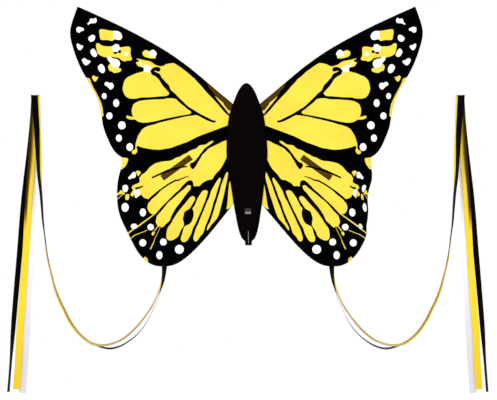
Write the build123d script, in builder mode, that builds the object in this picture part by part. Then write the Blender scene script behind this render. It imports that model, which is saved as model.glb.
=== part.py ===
from build123d import *
import math
import os

# A butterfly-shaped delta kite with three ribbons on each wing.
# Frame: +X to the right seen from the front, +Y to the back, +Z up the body.
# The origin is the centre of the tow eyelet. All sizes are in millimetres.
os.makedirs("parts", exist_ok=True)

# ---------------------------------------------------------------- driving dimensions
# Depths of the layers, from the front to the back.
panel_seam_y = 52.6  # where the body's front panels meet its back panel
back_panel_thickness = 1.0
sail_front_y = 54.0
sail_thickness = 0.8
sail_back_y = sail_front_y + sail_thickness
patch_thickness = 0.6  # sleeves' and pockets' sewn-down cloth, behind the sail
frame_y = 58.5  # plane of every rod; the spine's axis is also the wings' hinge axis

# Rods and the fittings on them.
spine_radius = 2.5
rod_radius = 2.0
sliding_fit = 0.05  # radial clearance of a moulded fitting on its rod
cap_radius = 2.8
hub_z = -8.0  # where the spars' axes meet the spine

# The left wing's cut, in X and Z; the right wing is its mirror image.
wing_tip = (-622, 401.5)
wing_notch = (-460, -153)  # between the upper and lower wing
wing_foot = (-302, -555)  # where the ribbons are sewn on
sail_root_x = -6.0  # the sails stop beside the spine
leading_edge = [(sail_root_x, 3), (-57, 49), (-97, 82), (-157, 133), (-217, 182), (-297, 238),
                (-397, 295), (-497, 345), wing_tip]
upper_wing_edge = [wing_tip, (-640, 352), (-650, 306), (-641, 255), (-613, 180), (-580, 120),
                   (-548, 58), (-534, -3), (-529, -35), (-509, -91), (-487, -131), wing_notch]
lower_wing_edge = [wing_notch, (-459, -172), (-470, -222), (-477, -301), (-467, -367),
                   (-437, -433), (-398, -506), (-366, -539), wing_foot]
trailing_edge = [wing_foot, (-269, -551), (-232, -531), (-195.5, -500), (-137, -437),
                 (-76.5, -362), (sail_root_x, -276)]

# Leading-edge spar: bowed, from the hub through two soft bends to the wing tip.
spar_bend_points = [(-205, 166), (-392, 287)]
spar_tip = (-609, 388)
sleeve_width = 21.0  # across the sewn band
sleeve_wall = 0.8
sleeve_clearance = 0.5

# Lower strut: straight, from the hub into the pocket behind the lower wing.
strut_slope_deg = 35.3
strut_length = 378.0
pocket_start, pocket_end = 250.0, 381.0  # along the strut, from the hub
pocket_width = 22.0

# Hub yokes: interleaved knuckles on the spine, a web and two sockets on each.
knuckle_height = 7.0
knuckle_gap = 0.5
knuckle_radius = 4.5
knuckle_count = 4
web_thickness = 3.0
socket_start, socket_end = 32.0, 56.0  # along each spar, from the hub
socket_radius = 3.0
socket_floor = 2.0

# Body: a spindle with a ridge. (height, half width, depth of the ridge before the seam)
body_stations = [
    (119, 4, 3), (113, 13, 9), (104, 21, 16), (90, 29.5, 24), (70, 38.5, 32), (40, 50, 39.5),
    (0, 62.5, 44.6), (-45, 69.5, 46), (-100, 74, 46), (-157, 74.3, 44.5), (-220, 66, 41),
    (-290, 56.5, 35), (-341, 49.5, 28.5), (-365, 45.5, 25), (-400, 39.5, 19.5),
    (-430, 32.5, 14.5), (-452, 23.5, 10.5), (-462, 13, 8),
]
panel_thickness = 1.2
ridge_tape_width = 2.0
eyelet_bore_radius = 3.0
eyelet_barrel_radius = 4.0
eyelet_flange_radius = 6.0
eyelet_flange_thickness = 0.5
tow_tab_reach = 9.0  # the tape's tab stands this far in front of the eyelet's centre

# Tail end of the body.
tail_pocket_size = (25.0, 12.0, 16.0)
tail_pocket_top_z = -462.0
tail_pocket_front_y = 50.5
spine_end_cap_radius = 3.8
spine_top_z, spine_bottom_z = 112.0, -472.0
tension_cord_radius = 1.25
label_size = 24.0
label_bottom_z, label_top_z = -365, -341

# Ribbons: each is a strip on edge, whose route is straight runs and large arcs.
ribbon_width = 26.0
ribbon_thickness = 0.6
ribbon_y = 54.4
ribbon_tab_size = (26.0, 18.0)
ribbon_routes = {
    "black": [(-305, -556), (-309, -623), (-339, -699), (-395, -772), (-471, -833), (-561, -851),
              (-629, -802), (-680, -708), (-719, -570), (-741, -430), (-755, -260), (-757, -90),
              (-753, 22), (-754, 76), (-811, 77), (-812, 20), (-814, -90), (-821, -270),
              (-834, -470), (-848, -670), (-860, -850), (-876, -1018)],
    "yellow": [(-302, -556), (-306, -624), (-336, -701), (-393, -774), (-470, -836), (-562, -854),
               (-631, -804), (-683, -709), (-722, -571), (-744, -430), (-758, -260), (-760, -90),
               (-756, 20), (-757, 73), (-808, 74), (-809, 18), (-808, -90), (-805, -270),
               (-808, -470), (-818, -670), (-831, -850), (-846, -1007)],
    "white": [(-299, -556), (-303, -625), (-333, -703), (-391, -776), (-469, -839), (-563, -857),
              (-633, -806), (-686, -710), (-725, -572), (-747, -430), (-761, -260), (-763, -90),
              (-759, 19), (-760, 70), (-805, 71), (-806, 16), (-801, -90), (-793, -270),
              (-795, -470), (-801, -670), (-811, -850), (-829, -1022)],
}


# ---------------------------------------------------------------- small helpers
def upright_plane(y):
    """The plane facing the front at depth y: its x is X, its y is Z, and it extrudes to -Y."""
    return Plane.XZ.offset(-y)


def frame_point(x, z):
    """A point in the plane of the rods."""
    return Vector(x, frame_y, z)


def spar_direction(side, rise_deg):
    """Unit vector in the rods' plane, outwards on the given side, rising by an angle."""
    rise = math.radians(rise_deg)
    return Vector(side * math.cos(rise), 0, math.sin(rise))


def first_bend_rise():
    """Angle at which the leading-edge spar leaves the hub."""
    x, z = spar_bend_points[0]
    return math.degrees(math.atan2(z - hub_z, -x))


def large_radii(points, share=0.45):
    """One radius for each corner of a route: as large as the corner's two runs allow."""
    corners = [Vector(x, z) for x, z in points]
    radii = []
    for before, corner, after in zip(corners, corners[1:], corners[2:]):
        arriving, leaving = corner - before, after - corner
        half_turn = math.radians(arriving.get_angle(leaving)) / 2
        radii.append(share * min(arriving.length, leaving.length) / math.tan(half_turn))
    return radii


def section_plane(path):
    """The plane across a path at its start."""
    return Plane(origin=path @ 0, z_dir=path % 0)


def station_at(z):
    """Half width and ridge depth of the body at height z, on a straight line between stations."""
    for (z_top, w_top, d_top), (z_low, w_low, d_low) in zip(body_stations, body_stations[1:]):
        if z_low <= z <= z_top:
            share = (z_top - z) / (z_top - z_low)
            return w_top + share * (w_low - w_top), d_top + share * (d_low - d_top)
    raise ValueError(f"no body at height {z}")


# ---------------------------------------------------------------- wing: sail, sleeve and rods
def make_sail():
    with BuildPart() as sail:
        with BuildSketch(upright_plane(sail_back_y)):
            with BuildLine():
                Spline(*leading_edge)
                Spline(*upper_wing_edge)
                Spline(*lower_wing_edge)
                Spline(*trailing_edge)
                Line(trailing_edge[-1], leading_edge[0])
            make_face()
        extrude(amount=sail_thickness)
    return sail.part


def spar_route(start, end_gap):
    """The leading-edge spar's centreline from a distance along it to a gap before its end."""
    outwards = spar_direction(-1, first_bend_rise())
    first = (outwards.X * start, hub_z + outwards.Z * start)
    bend_x, bend_z = spar_bend_points[-1]
    last_run = Vector(spar_tip[0] - bend_x, spar_tip[1] - bend_z)
    last = Vector(*spar_tip) - last_run.normalized() * end_gap
    whole = [(0, hub_z)] + spar_bend_points + [spar_tip]
    with BuildLine(upright_plane(frame_y)) as route:
        FilletPolyline(first, *spar_bend_points, (last.X, last.Y), radius=large_radii(whole))
    return route.wire()


def make_leading_edge_spar():
    route = spar_route(socket_start + socket_floor, 0)
    with BuildPart() as spar:
        with BuildSketch(section_plane(route)):
            Circle(rod_radius)
        sweep(path=route)
    return spar.part


def make_leading_edge_sleeve():
    """A tube of cloth round the spar, and the band that sews it to the sail's back."""
    tube_inner = rod_radius + sleeve_clearance
    tube = spar_route(socket_end + 4, 24)
    edge = Spline(*leading_edge)
    stations = [0.05, 0.2, 0.4, 0.6, 0.8, 0.965]
    outer = [edge @ t for t in stations]
    inner = [edge @ t + (edge % t).rotate(Axis.Z, 90) * sleeve_width for t in stations]
    with BuildPart() as sleeve:
        with BuildSketch(upright_plane(sail_back_y + patch_thickness)):
            with BuildLine():
                Spline(*outer)
                Line(outer[-1], inner[-1])
                Spline(*reversed(inner))
                Line(inner[0], outer[0])
            make_face()
        extrude(amount=patch_thickness)
        with BuildSketch(section_plane(tube)):
            Circle(tube_inner + sleeve_wall)
        sweep(path=tube)
        with BuildSketch(section_plane(tube)):
            Circle(tube_inner)
        sweep(path=tube, mode=Mode.SUBTRACT)
    return sleeve.part


def blind_cap(origin, direction, length, bore_depth):
    """A moulded cap: a rounded cylinder with a blind bore for a rod, open at its origin."""
    plane = Plane(origin=origin, z_dir=direction)
    with BuildPart() as cap:
        with BuildSketch(plane):
            Circle(cap_radius)
        extrude(amount=length)
        fillet(cap.faces().sort_by(Axis(origin, direction))[-1].edges(), 1.2)
        with BuildSketch(plane):
            Circle(rod_radius + sliding_fit)
        extrude(amount=bore_depth, mode=Mode.SUBTRACT)
    return cap.part


def make_wing_tip_cap():
    spar = spar_route(socket_start, 0)
    covered = 13.0
    return blind_cap(spar @ 1 - (spar % 1) * covered, spar % 1, covered + 3, covered)


def make_lower_strut():
    outwards = spar_direction(-1, -strut_slope_deg)
    start = frame_point(0, hub_z) + outwards * (socket_start + socket_floor)
    with BuildPart() as strut:
        with BuildSketch(Plane(origin=start, z_dir=outwards)):
            Circle(rod_radius)
        extrude(amount=strut_length - socket_start - socket_floor)
    return strut.part


def make_strut_end_cap():
    covered = 12.0
    outwards = spar_direction(-1, -strut_slope_deg)
    start = frame_point(0, hub_z) + outwards * (strut_length - covered)
    return blind_cap(start, outwards, covered + 1.5, covered)


def make_strut_pocket():
    """The cloth patch behind the lower wing, with the tube that takes the strut's end."""
    outwards = spar_direction(-1, -strut_slope_deg)
    hub = frame_point(0, hub_z)
    inner = cap_radius + 0.2
    middle = hub + outwards * (pocket_start + pocket_end) / 2
    length = pocket_end - pocket_start
    with BuildPart() as pocket:
        with BuildSketch(Plane(origin=(middle.X, sail_back_y + patch_thickness, middle.Z),
                               x_dir=outwards, z_dir=(0, -1, 0))):
            RectangleRounded(length, pocket_width, 1.5)
        extrude(amount=patch_thickness)
        with BuildSketch(Plane(origin=hub + outwards * (pocket_start + 2), z_dir=outwards)):
            Circle(inner + 0.6)
        extrude(amount=length - 2.5)
        with BuildSketch(Plane(origin=hub + outwards * (pocket_start + 2), z_dir=outwards)):
            Circle(inner)
        extrude(amount=length - 3.5, mode=Mode.SUBTRACT)
    return pocket.part


def make_ribbon_tab():
    width, height = ribbon_tab_size
    x, z = wing_foot
    with BuildPart() as tab:
        with BuildSketch(upright_plane(sail_back_y + patch_thickness)):
            with Locations((x, z + 1 + height / 2)):
                RectangleRounded(width, height, 2)
        extrude(amount=patch_thickness)
    return tab.part


def make_ribbon(route):
    with BuildLine(upright_plane(ribbon_y)) as line:
        FilletPolyline(*route, radius=large_radii(route))
    path = line.wire()
    with BuildPart() as ribbon:
        with BuildSketch(Plane(origin=path @ 0, x_dir=(0, 1, 0), z_dir=path % 0)):
            Rectangle(ribbon_width, ribbon_thickness)
        sweep(path=path)
    expected = ribbon_width * ribbon_thickness * path.length
    print(f"ribbon length {path.length:.0f}, smallest radius {min(large_radii(route)):.0f},"
          f" volume over section x length {ribbon.part.volume / expected:.4f}")
    return ribbon.part


# ---------------------------------------------------------------- hub
def make_hub_yoke(side, first_knuckle):
    """A wing's moulded fitting: every second knuckle on the spine, a web and two sockets."""
    pitch = knuckle_height + knuckle_gap
    hub_height = knuckle_count * pitch - knuckle_gap
    lowest = hub_z - hub_height / 2
    web_start = 11.0
    with BuildPart() as yoke:
        for index in range(first_knuckle, knuckle_count, 2):
            middle_z = lowest + index * pitch + knuckle_height / 2
            with Locations((0, frame_y, middle_z)):
                Cylinder(knuckle_radius, knuckle_height)
            with Locations((side * (web_start + 1) / 2, frame_y, middle_z)):
                Box(web_start + 1, web_thickness, knuckle_height)
        with BuildSketch(upright_plane(frame_y + web_thickness / 2)):
            Polygon((side * web_start, hub_z + hub_height / 2), (side * 24, hub_z + 27),
                    (side * 35, hub_z + 25), (side * 22, hub_z), (side * 36, hub_z - 21),
                    (side * 26, hub_z - 24), (side * web_start, hub_z - hub_height / 2),
                    align=None)
        extrude(amount=web_thickness)
        for rise in (first_bend_rise(), -strut_slope_deg):
            outwards = spar_direction(side, rise)
            mouth = frame_point(0, hub_z) + outwards * socket_end
            plane = Plane(origin=mouth, z_dir=-outwards)
            with BuildSketch(plane):
                Circle(socket_radius)
            extrude(amount=socket_end - socket_start)
            with BuildSketch(plane):
                Circle(rod_radius + sliding_fit)
            extrude(amount=socket_end - socket_start - socket_floor, mode=Mode.SUBTRACT)
        with Locations((0, frame_y, hub_z)):
            Cylinder(spine_radius + sliding_fit, 2 * hub_height, mode=Mode.SUBTRACT)
    return yoke.part


# ---------------------------------------------------------------- spine and body
def make_spine_rod():
    with BuildPart() as rod:
        with BuildSketch(Plane.XY.offset(spine_bottom_z)):
            with Locations((0, frame_y)):
                Circle(spine_radius)
        extrude(amount=spine_top_z - spine_bottom_z)
        chamfer(rod.edges().filter_by(GeomType.CIRCLE), 0.4)
    return rod.part


def make_spine_sleeve(bottom_z, top_z):
    """A cloth tube round the spine, joined to the back panel by a seam."""
    inner = spine_radius + 0.3
    seam_depth = frame_y - inner - panel_seam_y - back_panel_thickness
    with BuildPart() as sleeve:
        with BuildSketch(Plane.XY.offset(bottom_z)):
            with Locations((0, frame_y)):
                Circle(inner + 0.6)
            with Locations((0, panel_seam_y + back_panel_thickness + seam_depth / 2)):
                Rectangle(3, seam_depth)
            with Locations((0, frame_y)):
                Circle(inner, mode=Mode.SUBTRACT)
        extrude(amount=top_z - bottom_z)
    return sleeve.part


def make_nose_pocket():
    """The reinforced pocket that holds the spine's top end."""
    bottom, top = 97.0, 117.0
    with BuildPart() as pocket:
        with BuildSketch(Plane.XY.offset(bottom)):
            with Locations((0, panel_seam_y + back_panel_thickness + 4.4)):
                RectangleRounded(15, 8.8, 2)
        extrude(amount=top - bottom)
        fillet(pocket.faces().sort_by(Axis.Z)[-1].edges(), 1.5)
        with BuildSketch(Plane.XY.offset(bottom)):
            with Locations((0, frame_y)):
                Circle(spine_radius + sliding_fit)
        extrude(amount=spine_top_z - bottom, mode=Mode.SUBTRACT)
    return pocket.part


def make_back_panel():
    left = [(-w, z) for z, w, d in body_stations]
    right = [(w, z) for z, w, d in reversed(body_stations)]
    with BuildPart() as panel:
        with BuildSketch(upright_plane(panel_seam_y + back_panel_thickness)):
            Polygon(*left, *right, align=None)
        extrude(amount=back_panel_thickness)
    return panel.part


def make_front_panel():
    """The left front panel: from the seam at the body's edge forward to the ridge."""
    with BuildPart() as panel:
        for z, half_width, depth in body_stations:
            ridge_y = panel_seam_y - depth
            with BuildSketch(Plane.XY.offset(z)):
                Polygon((-half_width, panel_seam_y), (-ridge_tape_width / 2, ridge_y),
                        (-ridge_tape_width / 2, ridge_y + panel_thickness),
                        (-half_width + 2 * panel_thickness, panel_seam_y), align=None)
        loft(ruled=True)
    return panel.part


def make_ridge_tape():
    """The binding between the front panels, with the tab that carries the tow eyelet."""
    front = [(panel_seam_y - d, z) for z, w, d in body_stations]
    back = [(panel_seam_y - d + panel_thickness, z) for z, w, d in reversed(body_stations)]
    ridge_at_eyelet = panel_seam_y - station_at(0)[1]
    with BuildPart() as tape:
        with BuildSketch(Plane.YZ.offset(-ridge_tape_width / 2)):
            Polygon(*front, *back, align=None)
            with BuildLine():
                Polyline((ridge_at_eyelet + 1, 24), (ridge_at_eyelet - 3, 16),
                         (-tow_tab_reach, 7))
                Line((-tow_tab_reach, 7), (-tow_tab_reach, -7))
                Polyline((-tow_tab_reach, -7), (ridge_at_eyelet - 3, -16),
                         (ridge_at_eyelet, -24), (ridge_at_eyelet + 1, 24))
            make_face()
            Circle(eyelet_barrel_radius, mode=Mode.SUBTRACT)
        extrude(amount=ridge_tape_width)
    return tape.part


def make_tow_eyelet():
    barrel = ridge_tape_width / 2
    rim = barrel + eyelet_flange_thickness
    with BuildPart() as eyelet:
        with BuildSketch(Plane.XY):
            with BuildLine():
                Polyline((-rim, eyelet_bore_radius), (-rim, eyelet_flange_radius),
                         (-barrel, eyelet_flange_radius), (-barrel, eyelet_barrel_radius),
                         (barrel, eyelet_barrel_radius), (barrel, eyelet_flange_radius),
                         (rim, eyelet_flange_radius), (rim, eyelet_bore_radius), close=True)
            make_face()
        revolve(axis=Axis.X)
    return eyelet.part


def make_tail_pocket():
    """The body's squared lower end, which holds the spine's end cap."""
    width, depth, height = tail_pocket_size
    with BuildPart() as pocket:
        with BuildSketch(Plane.XY.offset(tail_pocket_top_z)):
            with Locations((0, tail_pocket_front_y + depth / 2)):
                RectangleRounded(width, depth, 1.5)
        extrude(amount=-height)
        with BuildSketch(Plane.XY.offset(tail_pocket_top_z)):
            with Locations((0, frame_y)):
                Circle(spine_end_cap_radius + 0.1)
        extrude(amount=-(height - 2), mode=Mode.SUBTRACT)
    return pocket.part


def make_spine_end_cap():
    bottom, top = tail_pocket_top_z - 13.5, tail_pocket_top_z + 3
    with BuildPart() as cap:
        with BuildSketch(Plane.XY.offset(bottom)):
            with Locations((0, frame_y)):
                Circle(spine_end_cap_radius)
        extrude(amount=top - bottom)
        fillet(cap.faces().sort_by(Axis.Z)[0].edges(), 1)
        with BuildSketch(Plane.XY.offset(spine_bottom_z)):
            with Locations((0, frame_y)):
                Circle(spine_radius + sliding_fit)
        extrude(amount=top - spine_bottom_z, mode=Mode.SUBTRACT)
    return cap.part


def make_tension_cord():
    """The cord that runs down the front of the tail into the pocket and pulls the body tight."""
    top_z, bend_z, end_z = -428, -465, -471
    ridge_y = panel_seam_y - station_at(top_z)[1] - tension_cord_radius - 0.1
    tail_y = panel_seam_y - body_stations[-1][2] - tension_cord_radius - 0.3
    points = [(ridge_y, top_z), (tail_y, bend_z), (tail_pocket_front_y - 0.8, end_z)]
    with BuildLine(Plane.YZ) as line:
        FilletPolyline(*points, radius=large_radii(points))
    path = line.wire()
    with BuildPart() as cord:
        with BuildSketch(section_plane(path)):
            Circle(tension_cord_radius)
        sweep(path=path)
    return cord.part


def make_plain_label():
    """A blank patch, bent over the ridge."""
    gap, thickness = 0.3, 0.6
    half = label_size / 2
    with BuildPart() as label:
        for z in (label_bottom_z, label_top_z):
            half_width, depth = station_at(z)
            ridge_y = panel_seam_y - depth
            edge_y = ridge_y + depth * (half - ridge_tape_width / 2) / half_width
            with BuildSketch(Plane.XY.offset(z)):
                Polygon((-half, edge_y - gap), (-1, ridge_y - gap), (1, ridge_y - gap),
                        (half, edge_y - gap), (half, edge_y - gap - thickness),
                        (1, ridge_y - gap - thickness), (-1, ridge_y - gap - thickness),
                        (-half, edge_y - gap - thickness), align=None)
        loft(ruled=True)
    return label.part


def mirrored(part):
    with BuildPart() as other:
        mirror(part, about=Plane.YZ)
    return other.part


# ---------------------------------------------------------------- the kite
pieces = {
    "spine_rod": make_spine_rod(),
    "spine_sleeve_upper": make_spine_sleeve(11, 96),
    "spine_sleeve_lower": make_spine_sleeve(-457, -27),
    "nose_pocket": make_nose_pocket(),
    "body_back_panel": make_back_panel(),
    "ridge_tape": make_ridge_tape(),
    "tow_eyelet": make_tow_eyelet(),
    "tail_pocket": make_tail_pocket(),
    "spine_end_cap": make_spine_end_cap(),
    "tension_cord": make_tension_cord(),
    "plain_label": make_plain_label(),
    "left_hub_yoke": make_hub_yoke(-1, 0),
    "right_hub_yoke": make_hub_yoke(1, 1),
}

left_pieces = {
    "body_panel": make_front_panel(),
    "sail": make_sail(),
    "leading_edge_spar": make_leading_edge_spar(),
    "leading_edge_sleeve": make_leading_edge_sleeve(),
    "wing_tip_cap": make_wing_tip_cap(),
    "lower_strut": make_lower_strut(),
    "strut_end_cap": make_strut_end_cap(),
    "strut_pocket": make_strut_pocket(),
    "ribbon_tab": make_ribbon_tab(),
}
for colour, route in ribbon_routes.items():
    left_pieces[f"ribbon_{colour}"] = make_ribbon(route)
for name, part in left_pieces.items():
    pieces[f"left_{name}"] = part
    pieces[f"right_{name}"] = mirrored(part)

for name, part in pieces.items():
    part.label = name
    export_step(part, f"parts/{name}.step")
print(f"{len(pieces)} parts")
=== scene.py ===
"""A butterfly-shaped delta kite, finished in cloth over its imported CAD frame.

+X is right, +Y back and +Z up. The script works in millimetres and scales to metres when it
makes a mesh. The left wing is described; the right wing is its mirror image.
"""
import math
from collections import Counter, defaultdict

import bpy
import numpy as np
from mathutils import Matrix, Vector, noise
from mathutils.geometry import delaunay_2d_cdt
from mathutils.kdtree import KDTree


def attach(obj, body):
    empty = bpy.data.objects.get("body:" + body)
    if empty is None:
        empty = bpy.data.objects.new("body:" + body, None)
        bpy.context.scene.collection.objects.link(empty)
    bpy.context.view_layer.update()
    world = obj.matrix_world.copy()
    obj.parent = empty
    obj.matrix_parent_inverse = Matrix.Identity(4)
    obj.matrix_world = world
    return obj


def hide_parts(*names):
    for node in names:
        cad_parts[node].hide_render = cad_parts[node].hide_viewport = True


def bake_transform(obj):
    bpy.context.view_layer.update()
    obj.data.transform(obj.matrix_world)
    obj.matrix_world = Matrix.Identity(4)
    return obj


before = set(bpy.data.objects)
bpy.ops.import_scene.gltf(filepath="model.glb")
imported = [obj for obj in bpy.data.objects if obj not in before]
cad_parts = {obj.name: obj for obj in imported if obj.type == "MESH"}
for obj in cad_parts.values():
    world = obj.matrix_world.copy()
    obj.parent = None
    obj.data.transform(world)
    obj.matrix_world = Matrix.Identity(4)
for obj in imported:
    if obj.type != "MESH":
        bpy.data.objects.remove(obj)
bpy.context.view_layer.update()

metres = 0.001  # one millimetre
sides = {"left": 1, "right": -1}  # the left wing's points are multiplied by this in X

# Depths and lines shared with the CAD, in millimetres.
sail_y, behind_sail_y = 54.4, 55.0  # the sails' middle, and the cloth sewn to their backs
frame_y, panel_seam_y = 58.5, 52.6
hub = (0, -8)
spar_points = [hub, (-205, 166), (-392, 287), (-609, 388)]
leading_edge = [(-6, 3), (-57, 49), (-97, 82), (-157, 133), (-217, 182), (-297, 238),
                (-397, 295), (-497, 345), (-622, 401.5)]
strut_slope = math.radians(35.3)
strut_way = (-math.cos(strut_slope), -math.sin(strut_slope))
strut_length = 378
strut_end = (hub[0] + strut_length * strut_way[0], hub[1] + strut_length * strut_way[1])
pocket_start, pocket_end = 250.0, 381.0  # along the strut, from the hub
wing_foot = (-302, -555)
tab_width, tab_height, tab_x, tab_z = 26, 18, wing_foot[0], wing_foot[1] + 10
label_bottom, label_top, label_half_width = -365, -341, 12
body_stations = [  # (height, half width, depth of the ridge)
    (119, 4, 3), (113, 13, 9), (104, 21, 16), (90, 29.5, 24), (70, 38.5, 32), (40, 50, 39.5),
    (0, 62.5, 44.6), (-45, 69.5, 46), (-100, 74, 46), (-157, 74.3, 44.5), (-220, 66, 41),
    (-290, 56.5, 35), (-341, 49.5, 28.5), (-365, 45.5, 25), (-400, 39.5, 19.5),
    (-430, 32.5, 14.5), (-452, 23.5, 10.5), (-462, 13, 8),
]


# ---------------------------------------------------------------- camera, light and floor
def add_camera():
    """A long lens straight in front, framed in metres."""
    distance, width, centre_x, centre_z = 12.0, 1.8305, 0.0077, -0.3112
    data = bpy.data.cameras.new("camera")
    data.sensor_width = 36
    data.lens = data.sensor_width * distance / width
    data.clip_end = 60
    camera = bpy.data.objects.new("camera", data)
    camera.location = (centre_x, sail_y * metres - distance, centre_z)
    camera.rotation_euler = (math.pi / 2, 0, 0)
    bpy.context.scene.collection.objects.link(camera)
    bpy.context.scene.camera = camera


def add_area_light(name, place, size, energy, aim=(0, 0, -0.2)):
    """A round soft light at a place, turned towards its aim."""
    data = bpy.data.lights.new(name, "AREA")
    data.shape = "DISK"
    data.size = size
    data.energy = energy
    light = bpy.data.objects.new(name, data)
    light.location = place
    light.rotation_euler = (Vector(aim) - Vector(place)).to_track_quat("-Z", "Y").to_euler()
    bpy.context.scene.collection.objects.link(light)


add_camera()
world = bpy.data.worlds.new("world")
bpy.context.scene.world = world
world.use_nodes = True
world.node_tree.nodes["Background"].inputs["Color"].default_value = (1, 1, 1, 1)
world.node_tree.nodes["Background"].inputs["Strength"].default_value = 1.0
add_area_light("key_light", (-2.2, -4.2, 2.4), size=1.6, energy=60)
add_area_light("fill_light", (2.6, -3.6, 0.4), size=2.4, energy=22)
add_area_light("back_light", (1.0, 4.4, 2.2), size=2.0, energy=45)
bpy.context.scene.view_settings.view_transform = "Standard"


# ---------------------------------------------------------------- materials
def add_node(tree, kind, inputs=(), **settings):
    """A shader node with its settings, and its inputs linked or set."""
    node = tree.nodes.new(kind)
    for name, value in settings.items():
        setattr(node, name, value)
    for socket, value in dict(inputs).items():
        if isinstance(value, bpy.types.NodeSocket):
            tree.links.new(value, node.inputs[socket])
        else:
            node.inputs[socket].default_value = value
    return node


def thread_height(tree, place, direction, pitch, sharpness, depth):
    """The height of parallel threads at a pitch in millimetres; sharpness thins them to lines."""
    wave_of_one_unit = math.pi / 10
    scale = wave_of_one_unit / (pitch * metres)
    wave = add_node(tree, "ShaderNodeTexWave", {"Vector": place, "Scale": scale},
                    bands_direction=direction)
    narrow = add_node(tree, "ShaderNodeMath", {0: wave.outputs["Fac"], 1: sharpness},
                      operation="POWER")
    return add_node(tree, "ShaderNodeMath", {0: narrow.outputs[0], 1: depth},
                    operation="MULTIPLY").outputs[0]


def make_material(name, colour, roughness, specular, variation, patch_size, threads=(),
                  grain=0.0, grain_size=2.0, coat=0.0, metallic=0.0, tints=()):
    """A procedural finish: slow colour variation, woven threads and a fine grain.

    variation is one share or a share for each channel, in patches of patch_size. threads holds
    (direction, pitch, sharpness, depth). All sizes are in millimetres. The colours given last are
    painted shade: the base colour passes through them as the mesh's per-point shade attribute goes
    from 0 to 1.
    """
    material = bpy.data.materials.new(name)
    material.use_nodes = True
    tree = material.node_tree
    shader = tree.nodes["Principled BSDF"]
    for socket, value in {"Roughness": roughness, "Specular IOR Level": specular,
                          "Coat Weight": coat, "Metallic": metallic}.items():
        shader.inputs[socket].default_value = value
    place = add_node(tree, "ShaderNodeTexCoord").outputs["Object"]
    patches = add_node(tree, "ShaderNodeTexNoise",
                       {"Vector": place, "Scale": 1 / (patch_size * metres), "Detail": 4.0})
    shares = np.broadcast_to(variation, 3)
    dark = [float(c * (1 - share)) for c, share in zip(colour, shares)] + [1]
    light = [float(min(1, c * (1 + share))) for c, share in zip(colour, shares)] + [1]
    blend = add_node(tree, "ShaderNodeMix", {"Factor": patches.outputs["Fac"], 6: dark, 7: light},
                     data_type="RGBA")
    result = blend.outputs[2]
    # painted shade: the base colour darkens through each shade colour in turn, by the mesh's shade
    # share
    for order, painted_shade in enumerate(tints):
        share = add_node(tree, "ShaderNodeAttribute", attribute_name="painted_shade")
        level = add_node(tree, "ShaderNodeMath",
                         {0: share.outputs["Fac"], 1: float(len(tints)), 2: -float(order)},
                         operation="MULTIPLY_ADD", use_clamp=True)
        result = add_node(tree, "ShaderNodeMix",
                          {"Factor": level.outputs[0], 6: result, 7: [*painted_shade, 1]},
                          data_type="RGBA").outputs[2]
    tree.links.new(result, shader.inputs["Base Color"])
    heights = [thread_height(tree, place, *thread) for thread in threads]
    if grain:
        fine = add_node(tree, "ShaderNodeTexNoise",
                        {"Vector": place, "Scale": 1 / (grain_size * metres), "Detail": 5.0})
        heights.append(add_node(tree, "ShaderNodeMath", {0: fine.outputs["Fac"], 1: grain},
                                operation="MULTIPLY").outputs[0])
    if heights:
        total = heights[0]
        for height in heights[1:]:
            total = add_node(tree, "ShaderNodeMath", {0: total, 1: height}).outputs[0]
        bump = add_node(tree, "ShaderNodeBump",
                        {"Height": total, "Strength": 0.6, "Distance": metres})
        tree.links.new(bump.outputs["Normal"], shader.inputs["Normal"])
    return material


ripstop = [("X", 0.5, 1.0, 0.04), ("Z", 0.5, 1.0, 0.04), ("X", 6.0, 14.0, 0.09),
           ("Z", 6.0, 14.0, 0.09)]
plain_weave = [("X", 0.6, 1.0, 0.06), ("Z", 0.6, 1.0, 0.06)]
tape_weave = [("X", 0.9, 1.0, 0.12), ("Z", 0.9, 1.0, 0.12)]
satin = [("X", 0.5, 1.0, 0.02), ("Z", 0.35, 1.0, 0.05)]
label_weave = [("X", 0.5, 1.0, 0.08), ("Z", 0.5, 1.0, 0.08)]
cord_lay = [("Z", 1.6, 1.0, 0.3)]
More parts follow.
